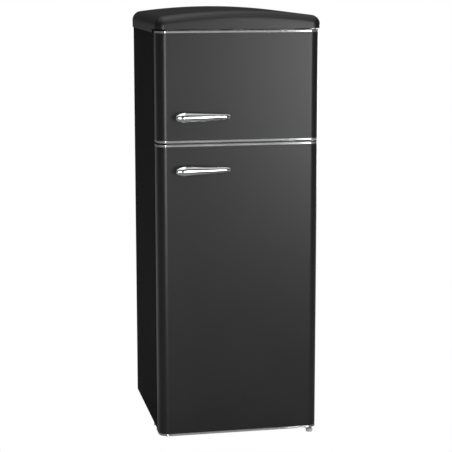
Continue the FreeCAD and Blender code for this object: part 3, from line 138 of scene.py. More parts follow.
def paint(name, dark, light, rough, peel=0.00006, coat=0.0, sheen=0.5):
    """Sprayed and baked paint: fine orange peel, faint cloudiness and settled dust."""
    s = Shader(name, Coat_Weight=coat, Coat_Roughness=0.25, IOR=1.5, Specular_IOR_Level=sheen)
    cloud = s.remap(s.noise(3, 3), 0.3, 0.7, 0, 1)
    dust = s.remap(s.noise(90, 5, 0.7), 0.64, 0.8, 0, 0.25)
    s.colour(s.mix(dust, s.mix(cloud, dark, light), grey(light[0] * 1.6 + 0.003)))
    smear = s.noise(6, 4, 0.5)
    s.roughness(s.remap(smear, 0.3, 0.7, rough - 0.012, rough + 0.012))
    s.bump(s.noise(650, 2), peel, 0.2)
    s.bump(s.noise(2600, 2), peel * 0.3, 0.3)
    return s.material


def chrome(name, rough=0.07):
    """Polished plating with a breath of haze, fine scratches and finger smears."""
    s = Shader(name, Metallic=1.0)
    haze = s.remap(s.noise(35, 5), 0.35, 0.7, 0, 1)
    s.colour(s.mix(haze, grey(0.80, (0.985, 0.995, 1)), grey(0.70, (0.985, 0.995, 1))))
    smear = s.noise(70, 6, 0.7)
    s.roughness(s.remap(smear, 0.35, 0.75, rough - 0.03, rough + 0.09))
    s.bump(s.noise(900, 3, place=s.stretched((0.15, 1, 1))), 0.00001, 0.25)
    return s.material


def plastic(name, base, rough=0.35, grain=900, relief=0.00003, tint=(1, 1, 1), **extra):
    """Injection-moulded plastic: fine spark-eroded grain, faint flow marks and scuffs."""
    s = Shader(name, IOR=1.49, **extra)
    flow = s.remap(s.noise(9, 3), 0.3, 0.7, 0, 1)
    base_mix = s.mix(flow, grey(base * 0.93, tint), grey(base, tint))
    dust = s.remap(s.noise(38, 6, 0.7), 0.62, 0.8, 0, 0.35)
    s.colour(s.mix(dust, base_mix, grey(min(base * 0.8 + 0.06, 0.9), tint)))
    s.roughness(s.remap(s.noise(22, 5), 0.3, 0.7, rough - 0.06, rough + 0.08))
    s.bump(s.noise(grain, 2), relief, 0.5)
    return s.material


def clear(name, colour, rough, weight=0.95, thin=(0, 1)):
    """See-through plastic or glass with faint haze and wipe marks."""
    s = Shader(name, Transmission_Weight=weight, IOR=1.47)
    haze = s.remap(s.noise(18, 5, 0.65), 0.35, 0.75, *thin)
    s.colour(s.mix(haze, colour, tuple(c * 0.93 for c in colour[:3]) + (1.0,)))
    s.roughness(s.remap(s.noise(45, 6, 0.7), 0.35, 0.75, rough, rough + 0.07))
    s.bump(s.noise(60, 2), 0.00004, 0.15)
    return s.material


def zinc(name, base=0.42):
    """Galvanised sheet: a mosaic of spangles, each with its own grey and shine."""
    s = Shader(name, Metallic=1.0)
    spangle = s.cells(130)
    tone = s.node("ShaderNodeSeparateColor", {"Color": spangle.outputs["Color"]}).outputs[0]
    base_mix = s.mix(tone, grey(base * 0.8, (0.97, 0.99, 1)), grey(base * 1.15, (0.97, 0.99, 1)))
    stain = s.remap(s.noise(30, 5), 0.55, 0.75, 0, 0.5)
    s.colour(s.mix(stain, base_mix, grey(base * 0.55, (1, 0.98, 0.94))))
    s.roughness(s.remap(tone, 0, 1, 0.3, 0.5))
    s.bump(spangle.outputs["Distance"], 0.00004, 0.4)
    return s.material


def metal(name, colour, rough, stain, streak=None):
    """Bare drawn or rolled metal with tarnish."""
    s = Shader(name, Metallic=1.0)
    tarnish = s.remap(s.noise(40, 6, 0.65), 0.4, 0.72, 0, 1)
    s.colour(s.mix(tarnish, colour, stain))
    s.roughness(s.remap(s.noise(90, 5), 0.3, 0.7, rough - 0.07, rough + 0.14))
    place = s.stretched(streak) if streak else None
    s.bump(s.noise(700, 3, place=place), 0.00003, 0.4)
    return s.material


def rubber(name, base, rough=0.62):
    """Soft extrusion or moulding with bloom on it."""
    s = Shader(name, IOR=1.5)
    bloom = s.remap(s.noise(26, 6, 0.7), 0.4, 0.72, 0, 1)
    s.colour(s.mix(bloom, grey(base), grey(base * 1.5 + 0.01)))
    s.roughness(s.remap(s.noise(60, 4), 0.3, 0.7, rough - 0.07, rough + 0.1))
    s.bump(s.noise(1300, 2), 0.00003, 0.5)
    return s.material


def foam(name):
    """Cut polyurethane foam, honey yellow with open cells."""
    s = Shader(name)
    cell = s.cells(700)
    tone = s.remap(s.noise(20, 5), 0.3, 0.7, 0, 1)
    s.colour(s.mix(tone, (0.72, 0.56, 0.30, 1), (0.80, 0.68, 0.42, 1)))
    s.roughness(s.remap(s.noise(90, 3), 0.3, 0.7, 0.8, 0.95))
    s.bump(cell.outputs["Distance"], 0.0004, 0.7)
    return s.material


MATERIALS = {
    "black_paint": paint("satin_black_paint", grey(0.0085), grey(0.011), 0.33, 0.00003),
    "matt_side": paint("matt_side_paint", grey(0.013), grey(0.016), 0.7, 0.00006, sheen=0.06),
    "black_cover": paint("satin_black_cover", grey(0.0095), grey(0.012), 0.33, 0.00004),
    "chrome": chrome("polished_chrome"),
    "white_plastic": plastic("white_plastic", 0.80, 0.30, tint=(1, 0.995, 0.98)),
    "clear_plastic": clear("clear_plastic", (0.93, 0.96, 0.97, 1), 0.06, 0.9),
    "foam": foam("polyurethane_foam"),
    "grey_gasket": rubber("grey_gasket_rubber", 0.16),
    "galvanised_steel": zinc("galvanised_steel"),
    "back_paint": paint("dark_back_paint", grey(0.05), grey(0.058), 0.5, 0.00006),
    "grey_plastic": plastic("grey_plastic", 0.68, 0.42),
    "black_enamel": paint("black_enamel", grey(0.010), grey(0.016), 0.30, 0.0001),
    "black_plastic": plastic("black_plastic", 0.018, 0.42),
    "black_rubber": rubber("black_rubber", 0.014),
    "copper": metal("copper_tube", (0.75, 0.36, 0.22, 1), 0.28, (0.38, 0.17, 0.10, 1)),
    "aluminium": metal("rolled_aluminium", grey(0.78), 0.35, grey(0.62), (1, 1, 0.04)),
    "glass": clear("shelf_glass", (0.90, 0.97, 0.94, 1), 0.01, 1.0),
    "frosted_plastic": clear("frosted_plastic", (0.95, 0.95, 0.93, 1), 0.45, 0.75),
}

# ---------------------------------------------------------------- mesh building


def mesh_piece(name, points, faces, crease=35.0):
    """An object from points and faces, smooth up to the crease angle in degrees."""
    mesh = bpy.data.meshes.new(name)
    mesh.from_pydata([tuple(p) for p in points], [], faces)
    work = bmesh.new()
    work.from_mesh(mesh)
    bmesh.ops.remove_doubles(work, verts=work.verts, dist=1e-7)
    bmesh.ops.recalc_face_normals(work, faces=work.faces)
    work.to_mesh(mesh)
    work.free()
    mesh.polygons.foreach_set("use_smooth", [True] * len(mesh.polygons))
    mesh.set_sharp_from_angle(angle=math.radians(crease))
    made = bpy.data.objects.new(name, mesh)
    bpy.context.scene.collection.objects.link(made)
    return made


def skin(rings, first=0, closed=True):
    """Faces between rings of equal length, one ring after another."""
    faces = []
    count = len(rings[0])
    span = count if closed else count - 1
    for k in range(len(rings) - 1):
        low, high = first + k * count, first + (k + 1) * count
        for i in range(span):
            j = (i + 1) % count
            faces.append((low + i, low + j, high + j, high + i))
    return faces


def loft(name, rings, caps=True, crease=35.0):
    """A closed solid through rings of points."""
    points = [p for ring in rings for p in ring]
    faces = skin(rings)
    if caps:
        last = len(points) - len(rings[0])
        faces.append(tuple(range(len(rings[0]))))
        faces.append(tuple(range(last, len(points))))
    return mesh_piece(name, points, faces, crease)


def arc(cx, cy, radius, start, end, steps):
    """Points of an arc between two angles."""
    return [
        (
            cx + radius * math.cos(start + (end - start) * i / steps),
            cy + radius * math.sin(start + (end - start) * i / steps),
        )
        for i in range(steps + 1)
    ]


def rounded_rectangle(x0, y0, x1, y1, radius, steps=8):
    corners = (
        (x1 - radius, y1 - radius, 0),
        (x0 + radius, y1 - radius, 1),
        (x0 + radius, y0 + radius, 2),
        (x1 - radius, y0 + radius, 3),
    )
    outline = []
    for cx, cy, quarter in corners:
        outline += arc(cx, cy, radius, quarter * QUARTER, (quarter + 1) * QUARTER, steps)
    return outline


def soften(piece, width, segments=3, angle=35.0):
    """Small rounded edges, with flat faces kept flat."""
    bevel = piece.modifiers.new("edge_rounding", "BEVEL")
    bevel.width = width
    bevel.segments = segments
    bevel.limit_method = "ANGLE"
    bevel.angle_limit = math.radians(angle)
    bevel.harden_normals = True
    return piece


def keep_flat(piece):
    """Large faces keep their own direction, so that reflections stay straight."""
    weighted = piece.modifiers.new("flat_faces", "WEIGHTED_NORMAL")
    weighted.keep_sharp = True
    return piece


def place(piece, body, slot, *replaced, look=None):
    """The record's slot gives the material unless the piece has a look of its own."""
    piece.data.materials.clear()
    piece.data.materials.append(MATERIALS[look or slot])
    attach(piece, body)
    if replaced:
        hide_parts(*replaced)
    return piece


# ---------------------------------------------------------------- doors


def door_path(offset=0.0, back=DOOR_BACK, steps=20):
    """The door's outline from above, from its back left round the front to its back right."""
    radius = DOOR_ROUND + offset
    cx, cy = DOOR_HALF - DOOR_ROUND, DOOR_FACE + DOOR_ROUND
    path = [(-DOOR_HALF - offset, back)]
    path += arc(-cx, cy, radius, math.pi, 1.5 * math.pi, steps)
    path += arc(cx, cy, radius, 1.5 * math.pi, 2 * math.pi, steps)
    path.append((DOOR_HALF + offset, back))
    return path


def door_skin(door):
    """Folded steel skin: flat front, rounded corners, and its back edges turned in."""
    low, high = PANEL[door]
    thick = 1 * MM
    hem = 9 * MM
    back = high.y
    outer = door_path(0, back)
    inner = door_path(-thick, back - thick)
    turned_out = [(DOOR_HALF - hem, back)]
    turned_in = [(DOOR_HALF - hem, back - thick)]
    section = outer + turned_out + turned_in + inner[::-1]
    section += [(-x, y) for x, y in turned_in] + [(-x, y) for x, y in turned_out]
    rings = [[(x, y, z) for x, y in section] for z in (low.z, high.z)]
    piece = loft(f"{door}_skin", rings)
    keep_flat(piece)
    return place(piece, door, "black_paint", f"{door}_panel")


# Height share and how far it stands out of the skin, over one chrome end trim from its outer end.
BEAD = (
    (0.00, -2.0),
    (0.00, 0.1),
    (0.06, 0.45),
    (0.16, 0.72),
    (0.30, 0.80),
    (0.42, 0.66),
    (0.48, 0.30),
    (0.52, 0.12),
    (0.56, 0.30),
    (0.62, 0.62),
    (0.74, 0.78),
    (0.88, 0.66),
    (0.96, 0.40),
    (1.00, 0.05),
    (1.00, -2.0),
)


def door_trims(door):
    """Two bright end caps, each with a double bead that runs round the door's edge."""
    low, high = TRIMS[door]
    tall = PANEL[door][0].z - low.z
    recess = 0.3 * MM
    points, faces = [], []
    for end, into in ((low.z, 1), (high.z, -1)):
        rings = []
        for share, proud in ((0.0, -3.5),) + BEAD:
            level = end + into * (share * tall + (recess if proud < -3 else 0))
            path = door_path(proud * MM, DOOR_BACK)
            rings.append([(x, y, level) for x, y in path])
        first = len(points)
        points += [p for ring in rings for p in ring]
        count = len(rings[0])
        faces += skin(rings, first)
        faces.append(tuple(range(first, first + count)))
        faces.append(tuple(range(len(points) - count, len(points))))
    piece = mesh_piece(f"{door}_chrome_trims", points, faces, 50)
    keep_flat(piece)
    return place(piece, door, "chrome", f"{door}_trims")


# Stations of a handle from its nose: share of the length, height, stand-off of its back and front,
# depth of its two grooves, all in millimetres, and half widths of the upper and the lower groove as
# shares of half the height.
HANDLE_STATIONS = (
    (0.000, 8.0, 27.6, 31.0, 0.0, 0.13, 0.05),
    (0.006, 12.4, 26.8, 32.2, 0.2, 0.13, 0.05),
    (0.020, 17.4, 26.0, 33.6, 0.7, 0.13, 0.05),
    (0.045, 22.2, 25.2, 35.0, 1.3, 0.13, 0.05),
    (0.080, 26.6, 24.4, 36.2, 1.7, 0.13, 0.05),
    (0.120, 30.0, 23.8, 37.2, 2.0, 0.13, 0.05),
    (0.148, 31.6, 23.4, 37.6, 2.0, 0.13, 0.05),
    (0.155, 32.6, 23.2, 38.0, 0.6, 0.13, 0.05),
    (0.168, 32.6, 23.0, 38.0, 0.6, 0.13, 0.05),
    (0.175, 31.8, 22.9, 37.7, 2.4, 0.15, 0.06),
    (0.300, 29.8, 20.7, 35.3, 2.6, 0.16, 0.08),
    (0.500, 26.6, 17.0, 31.0, 2.6, 0.15, 0.13),
    (0.700, 23.4, 12.8, 26.4, 2.4, 0.14, 0.16),
    (0.900, 20.2, 8.6, 21.6, 2.2, 0.14, 0.18),
    (0.960, 19.0, 8.2, 20.3, 2.0, 0.14, 0.18),
    (0.984, 17.4, 8.0, 18.9, 1.2, 0.14, 0.18),
    (0.995, 15.2, 8.0, 17.2, 0.5, 0.14, 0.18),
    (1.000, 12.0, 8.4, 15.4, 0.0, 0.14, 0.18),
)
GROOVE_PLACES = (-0.29, 0.42)


def handle_section(height, near, far, groove, upper, lower):
    """One closed section across a handle, as (stand-off, height): three ribs in front, flat behind."""
    front = []
    place_at = -1.0
    for middle, half in zip(GROOVE_PLACES, (lower, upper)):
        rib = (place_at, middle - half)
        front += [(rib[0] + (rib[1] - rib[0]) * i / 7, 0.0) for i in range(8)]
        front += [(middle - half * 0.55, 1.0), (middle + half * 0.55, 1.0)]
        place_at = middle + half
    front += [(place_at + (1 - place_at) * i / 7, 0.0) for i in range(8)]
    section = []
    for t, sunk in front:
        fall = (far - near) * 0.55 * abs(t) ** 2.4
        section.append((far - fall - groove * sunk, t * height / 2))
    shoulder = (near + (far - near) * 0.2, 0.46 * height)
    corner = (near, 0.36 * height)
    section += [shoulder, corner, (near, 0), (near, -corner[1]), (shoulder[0], -shoulder[1])]
    return section


def door_handle(door):
    """Chromed bar, tall and blunt at its nose, slim at its other end, on two posts."""
    low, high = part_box(f"{door}_handle")
    length = high.x - low.x
    level = (low.z + high.z) / 2
    rings = []
    for share, *shape in HANDLE_STATIONS:
        x = low.x + share * length
        section = handle_section(*shape)
        rings.append([(x, DOOR_FACE - off * MM, level + z * MM) for off, z in section])
    bar = loft(f"{door}_grip", rings, crease=34)
    place(bar, door, "chrome", f"{door}_handle")
    # dark strips in the grooves: painted shade and painted dark reflection
    groove_shade_strips(door, low.x, length, level)
    for end, share, depth in (("nose", 0.22, 24), ("tail", 0.92, 11)):
        x = low.x + share * length
        rings = []
        for off, grow in ((0.0, 3.2), (0.6, 3.4), (1.2, 3.0), (3.0, 1.6), (6.0, 0.6), (depth, 0.0)):
            y = DOOR_FACE - min(off, depth) * MM
            outline = rounded_rectangle(
                x - (9 + grow) * MM,
                level - (5 + grow) * MM,
                x + (9 + grow) * MM,
                level + (5 + grow) * MM,
                (3.5 + grow) * MM,
                6,
            )
            rings.append([(px, y, pz) for px, pz in outline])
        post = loft(f"{door}_handle_post_{end}", rings, crease=60)
        place(post, door, "chrome")


def groove_shade_strips(door, start, length, level):
    """Painted shade: dark strips in the black paint material on the floor of the two grooves, standing in
    for the groove's shade and dark reflection.
    """
    for line, middle in enumerate(GROOVE_PLACES):
        rings = []
        for share, height, near, far, groove, upper, lower in HANDLE_STATIONS[2:-3]:
            half = 0.75 * (lower if line == 0 else upper)
            floor_at = far - (far - near) * 0.55 * abs(middle) ** 2.4 - groove
            x = start + share * length
            ring = []
            for side, rise in ((-1, 0.0), (-0.85, 0.6), (0.85, 0.6), (1, 0.0)):
                z = level + (middle + side * half) * height / 2 * MM
                ring.append((x, DOOR_FACE - (floor_at + rise) * MM, z))
            rings.append(ring)
        # each strip is painted shade in the groove, not a finish of the handle
        place(loft(f"{door}_handle_groove_shade_{line}", rings, crease=30), door, "black_paint")


def door_gasket(door):
    """Soft magnetic seal: a flat foot, a bellows and a rounded sealing face, mitred at its corners."""
    low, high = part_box(f"{door}_gasket")
    width = 16.0
    # (distance in from the outer edge, distance from the door), millimetres
    profile = (
        (1.0, 0.0),
        (0.2, 0.8),
        (0.2, 2.0),
        (1.8, 3.2),
        (3.2, 4.4),
        (1.4, 5.6),
        (0.0, 7.0),
        (0.0, 9.6),
        (0.5, 10.8),
        (1.8, 11.5),
        (6.0, 11.5),
        (10.0, 11.4),
        (14.0, 11.5),
        (15.5, 10.8),
        (16.0, 9.6),
        (16.0, 7.0),
        (14.4, 5.6),
        (12.8, 4.4),
        (14.2, 3.2),
        (15.8, 2.0),
        (15.8, 0.8),
        (15.0, 0.0),
    )
    steps = 8
    rings = []
    for inward, out in profile:
        i = inward * MM
        radius = (10 + (4 - 10) * inward / width) * MM
        outline = rounded_rectangle(low.x + i, low.z + i, high.x - i, high.z - i, radius, steps)
        rings.append([(x, low.y + out * MM, z) for x, z in outline])
    points = [p for ring in rings for p in ring]
    faces = [tuple(v % len(points) for v in face) for face in skin(rings + [rings[0]])]
    piece = mesh_piece(f"{door}_seal", points, faces, 40)
    return place(piece, door, "grey_gasket", f"{door}_gasket")


# node: (door, levels of its bins' floors, height of a bin), millimetres
RACKS = {
    "freezer_door_rack": ("freezer_door", (1090,), 70),
    "fridge_door_racks": ("fridge_door", (770, 530), 75),
    "bottle_rack": ("fridge_door", (130,), 110),
}
BIN_WALL = 2.0
BIN_CORNER = 9 * MM
BIN_LEAST_CORNER = 3 * MM


def door_rack(node):
    """Clear moulded bin with rounded corners and a rolled rim."""
    door, levels, height = RACKS[node]
    low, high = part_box(node)
    replaced = (node,)
    for count, level in enumerate(levels):
        # (inset, height over the bottom), from the outside of the floor up, over the rim and down
        profile = (
            (2.4, 0.0),
            (0.9, 0.4),
            (0.3, 1.4),
            (0.2, 3.0),
            (0.2, height - 5.0),
            (0.0, height - 4.4),
            (0.0, height - 0.8),
            (0.4, height),
            (BIN_WALL - 0.4, height),
            (BIN_WALL, height - 0.6),
            (BIN_WALL, 5.0),
            (BIN_WALL + 0.8, 3.0),
            (BIN_WALL + 2.6, 2.0),
        )
        rings = []
        for inset, rise in profile:
            i = inset * MM
            corner = max(BIN_CORNER - i, BIN_LEAST_CORNER)
            outline = rounded_rectangle(low.x + i, low.y + i, high.x - i, high.y - i, corner, 6)
            rings.append([(x, y, (level + rise) * MM) for x, y in outline])
        bin_shell = loft(f"{node}_bin_{count}", rings, crease=50)
        place(bin_shell, door, "clear_plastic", *replaced)
        replaced = ()


# ---------------------------------------------------------------- top cover

COVER_LOW, COVER_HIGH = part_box("top_cover")
# the rounded edges of the thickened wall bulge a little less than this past the outline at each side
COVER_GROWTH = 0.3 * MM
COVER_HALF = COVER_HIGH.x - COVER_GROWTH
COVER_TOP = COVER_HIGH.z
COVER_SHOULDER = 1420 * MM
COVER_FRONT_BOTTOM = 1381 * MM
COVER_FRONT_ROUND = 30 * MM
COVER_SIDE_ROUND = 31.8 * MM


def crown_outline(inset, bottom, steps=14, crown_steps=48):
    """The cover seen from the front, drawn in by the inset: side, shoulder, crown, shoulder, side."""
    rise = COVER_TOP - COVER_SHOULDER
    half = COVER_HALF - inset
    crown = (COVER_HALF**2 + rise**2) / (2 * rise) - inset
    corner = COVER_SIDE_ROUND - inset
    centre_z = COVER_TOP - inset - crown
    corner_x = half - corner
    corner_z = centre_z + math.sqrt((crown - corner) ** 2 - corner_x**2)
    meet = math.atan2(corner_z - centre_z, corner_x)
    outline = [(half, bottom)]
    outline += arc(corner_x, corner_z, corner, 0, meet, steps)
    outline += arc(0, centre_z, crown, meet, math.pi - meet, crown_steps)[1:-1]
    outline += arc(-corner_x, corner_z, corner, math.pi - meet, math.pi, steps)
    outline.append((-half, bottom))
    return outline


def top_cover():
    """One moulded shell: crowned top, rounded front edges, a floor over the door and an open base."""
    wall = 3 * MM
    stations = []
    steps = 14
    for i in range(steps + 1):
        angle = QUARTER * i / steps
        y = COVER_LOW.y + COVER_FRONT_ROUND * (1 - math.cos(angle))
        stations.append((y, COVER_FRONT_ROUND * (1 - math.sin(angle)), COVER_FRONT_BOTTOM))
    stations.append((CABINET_FRONT, 0, COVER_FRONT_BOTTOM))
    stations.append((CABINET_FRONT, 0, COVER_LOW.z))
    stations.append((COVER_HIGH.y - wall, 0, COVER_LOW.z))
    stations.append((COVER_HIGH.y - wall, 0, CABINET_TOP))
    stations.append((COVER_HIGH.y - 1.2 * MM, 0, CABINET_TOP))
    stations.append((COVER_HIGH.y - 0.35 * MM, 0.35 * MM, CABINET_TOP))
    stations.append((COVER_HIGH.y, 1.2 * MM, CABINET_TOP))
    rings = [
        [(x, y, z) for x, z in crown_outline(inset, bottom)] for y, inset, bottom in stations
    ]
    points = [p for ring in rings for p in ring]
    faces = skin(rings, closed=False)
    count = len(rings[0])
    faces.append(tuple(range(count)))
    faces.append(tuple(range(len(points) - count, len(points))))
    for k in range(steps + 1):
        low, high = k * count, (k + 1) * count
        faces.append((low, high, high + count - 1, low + count - 1))
    piece = mesh_piece("crowned_cover", points, faces, 40)
    solid = piece.modifiers.new("wall", "SOLIDIFY")
    solid.thickness = wall
    solid.offset = -1
    solid.use_even_offset = True
    soften(piece, 0.8 * MM, 2, 50)
    keep_flat(piece)
    return place(piece, "cabinet", "black_cover", "top_cover")


# ---------------------------------------------------------------- cabinet


def side_shell(side, name):
    """Flat steel side with a rounded fold into the flange that the gaskets seal on."""
    low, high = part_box(f"side_panel_{name}")
    outer = max(abs(low.x), abs(high.x))
    lip = min(abs(low.x), abs(high.x))
    thick, fold = 1 * MM, 3 * MM
    hem = 14 * MM
    back = CABINET_BACK - thick
    section = [(outer, CABINET_BACK - 1.5 * MM)]
    section += arc(outer - 1.5 * MM, CABINET_BACK - 1.5 * MM, 1.5 * MM, 0, QUARTER, 5)
    section += [(outer - hem, CABINET_BACK), (outer - hem, back), (outer - thick, back)]
    section += arc(
        outer - fold, CABINET_FRONT + fold, fold - thick, 0, -QUARTER, 8
    )
    section += [(lip, CABINET_FRONT + thick), (lip, CABINET_FRONT)]
    section += arc(outer - fold, CABINET_FRONT + fold, fold, -QUARTER, 0, 8)
    rings = [[(side * x, y, z) for x, y in section] for z in (low.z, high.z)]
    piece = loft(f"cabinet_side_{name}", rings)
    keep_flat(piece)
    return place(piece, "cabinet", "black_paint", f"side_panel_{name}", look="matt_side")


# ---------------------------------------------------------------- feet and rollers


def levelling_foot(name, body):
    """Grey foot: a softly rounded pad with grip notches, on its threaded steel stud."""
    low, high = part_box(name)
    centre = Vector(((low.x + high.x) / 2, (low.y + high.y) / 2, 0))
    radius, top = 11.5, 12.0
    profile = (
        (0.0, 0.0, 0),
        (6.0, 0.0, 0),
        (9.2, 0.25, 0),
        (10.6, 1.1, 0),
        (11.2, 2.4, 0.3),
        (radius, 3.6, 1),
        (radius, 5.0, 1),
        (radius, 9.8, 1),
        (11.2, 10.9, 1),
        (10.3, 11.7, 0.7),
        (8.8, top, 0),
        (5.0, top, 0),
        (4.6, top, 0),
    )
    steps = 96
    notches = 6
    rings = []
    for r, z, depth in profile:
        ring = []
        for i in range(steps):
            a = 2 * math.pi * i / steps
            swing = abs((i * notches / steps + 0.5) % 1.0 - 0.5) * 2
            cut = 1.7 * depth * max(0.0, 1 - (swing / 0.22) ** 2)
            ring.append(centre + Vector(((r - cut) * math.cos(a), (r - cut) * math.sin(a), z)) * MM)
        rings.append(ring)
    pad = loft(f"{name}_pad", rings, crease=42)
    place(pad, body, "grey_plastic", name)
    thread = []
    turns_per_mm = 1 / 1.25
    stud_top = (high.z / MM) - 0.2
    height = top - 0.5
    while height < stud_top:
        ring = []
        for i in range(32):
            a = 2 * math.pi * i / 32
            phase = (height * turns_per_mm - i / 32) % 1.0
            r = 3.95 - 0.55 * abs(phase * 2 - 1)
            ring.append(centre + Vector((r * math.cos(a), r * math.sin(a), height)) * MM)
        thread.append(ring)
        height += 0.25
    stud = loft(f"{name}_stud", thread, crease=80)
    place(stud, body, "galvanised_steel")


def roller(name, body):
    """Black nylon roller: crowned tread, dished webs with ribs and a hub."""
    low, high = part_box(name)
    centre = (low + high) / 2
    half = (high.x - low.x) / 2 / MM
    profile = (
        (4.2, -half),
        (7.5, -half),
        (8.0, -half + 0.5),
        (8.2, -half + 4.0),
        (9.0, -half + 4.6),
        (17.5, -half + 4.6),
        (18.4, -half + 4.0),
        (18.7, -half + 0.6),
        (19.2, -half),
        (21.6, -half),
        (22.6, -half + 0.6),
        (23.0, -half + 1.8),
        (23.0, half - 1.8),
        (22.6, half - 0.6),
        (21.6, half),
        (19.2, half),
        (18.7, half - 0.6),
        (18.4, half - 4.0),
        (17.5, half - 4.6),
        (9.0, half - 4.6),
        (8.2, half - 4.0),
        (8.0, half - 0.5),
        (7.5, half),
        (4.2, half),
        (4.2, -half),
    )
    metres = [(r * MM, h * MM) for r, h in profile]
    rings = []
    steps = 72
    turns = [2 * math.pi * i / steps for i in range(steps)]
    for r, h in metres:
        rings.append([centre + Vector((h, r * math.cos(a), r * math.sin(a))) for a in turns])
    points = [p for ring in rings for p in ring]
    faces = skin(rings)
    ribs = 6
    for k in range(ribs):
        a = 2 * math.pi * k / ribs
        for side in (-1, 1):
            corners = []
            for r, t, h in (
                (8.1, -0.8, 4.4), (18.5, -0.8, 4.4), (18.5, 0.8, 4.4), (8.1, 0.8, 4.4),
                (8.1, -0.6, 0.9), (18.5, -0.6, 0.9), (18.5, 0.6, 0.9), (8.1, 0.6, 0.9),
            ):
                y = (r * math.cos(a) - t * math.sin(a)) * MM
                z = (r * math.sin(a) + t * math.cos(a)) * MM
                corners.append(centre + Vector((side * (half - h) * MM, y, z)))
            first = len(points)
            points += corners
            for quad in ((0, 1, 2, 3), (4, 5, 6, 7), (0, 1, 5, 4), (1, 2, 6, 5), (2, 3, 7, 6), (3, 0, 4, 7)):
                faces.append(tuple(first + q for q in quad))
    piece = mesh_piece(f"{name}_wheel", points, faces, 40)
    return place(piece, body, "black_plastic", name)


# ---------------------------------------------------------------- carried-over CAD nodes


def finish_cad_nodes():
    """Every CAD node that still shows takes its slot's procedural material."""
    for node in NODES.values():
        if node.hide_render:
            continue
        for index, material in enumerate(node.data.materials):
            slot_name = material.name.split(".")[0]
            node.data.materials[index] = MATERIALS[slot_name]


# ---------------------------------------------------------------- stage, light and camera

CAMERA_PLACE = Vector((-0.9731, -4.9248, 1.5777))
CAMERA_YAW = math.radians(11.542)
CAMERA_TILT = math.radians(9.720)
CAMERA_LENS = 116.115
CAMERA_SHIFT = (-0.01505, -0.02)
WALL_LIGHT = 0.055
CEILING_LIGHT = 0.7
CEILING_FADE = (0.45, 0.85)
FLOOR_GREY = 0.45
FLOOR_REACH = 30.0


def camera():
    data = bpy.data.cameras.new("camera")
    data.lens = CAMERA_LENS
    data.sensor_width = 36
    data.shift_x, data.shift_y = CAMERA_SHIFT
    made = bpy.data.objects.new("camera", data)
    made.location = CAMERA_PLACE
    made.rotation_euler = Euler((QUARTER - CAMERA_TILT, 0, -CAMERA_YAW))
    bpy.context.scene.collection.objects.link(made)
    bpy.context.scene.camera = made


def softbox(name, place_at, aim, width, height, power):
    data = bpy.data.lights.new(name, "AREA")
    data.shape = "RECTANGLE"
    data.size, data.size_y = width, height
    data.energy = power
    made = bpy.data.objects.new(name, data)
    made.location = place_at
    made.rotation_euler = (Vector(aim) - Vector(place_at)).to_track_quat("-Z", "Y").to_euler()
    bpy.context.scene.collection.objects.link(made)


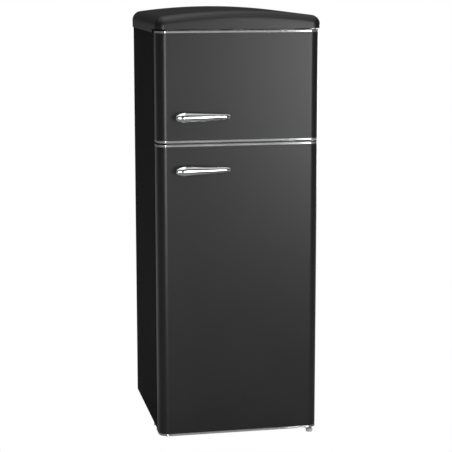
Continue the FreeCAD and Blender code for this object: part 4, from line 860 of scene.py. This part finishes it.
def studio():
    """White surroundings to the eye; in reflections dim walls under a bright ceiling, and softboxes."""
    world = bpy.data.worlds.new("studio")
    bpy.context.scene.world = world
    world.use_nodes = True
    tree = world.node_tree
    shown = tree.nodes.new("ShaderNodeBackground")
    shown.inputs["Color"].default_value = (1, 1, 1, 1)
    shown.inputs["Strength"].default_value = 1.0
    dim = tree.nodes["Background"]
    dim.inputs["Color"].default_value = (1, 1, 1, 1)
    direction = tree.nodes.new("ShaderNodeTexCoord").outputs["Generated"]
    parts = tree.nodes.new("ShaderNodeSeparateXYZ")
    tree.links.new(direction, parts.inputs[0])
    ceiling = tree.nodes.new("ShaderNodeMapRange")
    ceiling.interpolation_type = "SMOOTHSTEP"
    ceiling.inputs["From Min"].default_value, ceiling.inputs["From Max"].default_value = CEILING_FADE
    ceiling.inputs["To Min"].default_value = WALL_LIGHT
    ceiling.inputs["To Max"].default_value = CEILING_LIGHT
    tree.links.new(parts.outputs["Z"], ceiling.inputs["Value"])
    tree.links.new(ceiling.outputs[0], dim.inputs["Strength"])
    ray = tree.nodes.new("ShaderNodeLightPath")
    choose = tree.nodes.new("ShaderNodeMixShader")
    tree.links.new(ray.outputs["Is Camera Ray"], choose.inputs[0])
    tree.links.new(dim.outputs[0], choose.inputs[1])
    tree.links.new(shown.outputs[0], choose.inputs[2])
    tree.links.new(choose.outputs[0], tree.nodes["World Output"].inputs["Surface"])
    softbox("right_low", (2.0, -5.3, 0.98), (0, 0, 0.98), 0.9, 1.6, 52)
    softbox("right_high", (2.0, -5.3, 3.1), (0, 0, 1.0), 0.9, 0.9, 37)
    softbox("left_low", (-1.5, -5.3, 0.7), (0, 0, 0.7), 1.2, 1.3, 60)
    softbox("front_overhead", (0, -2.4, 3.8), (0, -0.2, 1.0), 2.0, 1.2, 6)
    softbox("overhead", (-0.3, -0.5, 3.6), (0, -0.2, 1.0), 1.0, 1.6, 6)
    softbox("back_right", (2.6, 3.8, 0.75), (0, 0.2, 0.7), 1.8, 1.2, 80)
    bpy.context.scene.view_settings.view_transform = "Standard"


def floor():
    mesh = bpy.data.meshes.new("floor")
    corners = [(x * FLOOR_REACH, y * FLOOR_REACH, 0) for x, y in ((-1, -1), (1, -1), (1, 1), (-1, 1))]
    mesh.from_pydata(corners, [], [(0, 1, 2, 3)])
    made = bpy.data.objects.new("floor", mesh)
    bpy.context.scene.collection.objects.link(made)
    material = bpy.data.materials.new("pale_floor")
    material.use_nodes = True
    tree = material.node_tree
    bsdf = tree.nodes["Principled BSDF"]
    bsdf.inputs["Base Color"].default_value = (FLOOR_GREY, FLOOR_GREY, FLOOR_GREY, 1)
    bsdf.inputs["Roughness"].default_value = 0.9
    glow = tree.nodes.new("ShaderNodeEmission")
    glow.inputs["Strength"].default_value = 1.0
    ray = tree.nodes.new("ShaderNodeLightPath")
    seen = tree.nodes.new("ShaderNodeMixShader")
    tree.links.new(ray.outputs["Is Camera Ray"], seen.inputs[0])
    tree.links.new(bsdf.outputs[0], seen.inputs[1])
    tree.links.new(glow.outputs[0], seen.inputs[2])
    tree.links.new(seen.outputs[0], tree.nodes["Material Output"].inputs["Surface"])
    mesh.materials.append(material)


# ---------------------------------------------------------------- assembly

for door in DOORS:
    door_skin(door)
    door_trims(door)
    door_handle(door)
    door_gasket(door)
for rack in RACKS:
    door_rack(rack)
top_cover()
side_shell(-1, "left")
side_shell(1, "right")
levelling_foot("front_foot_left", "left_foot")
levelling_foot("front_foot_right", "right_foot")
roller("rear_roller_left", "left_roller")
roller("rear_roller_right", "right_roller")
finish_cad_nodes()
camera()
studio()
floor()
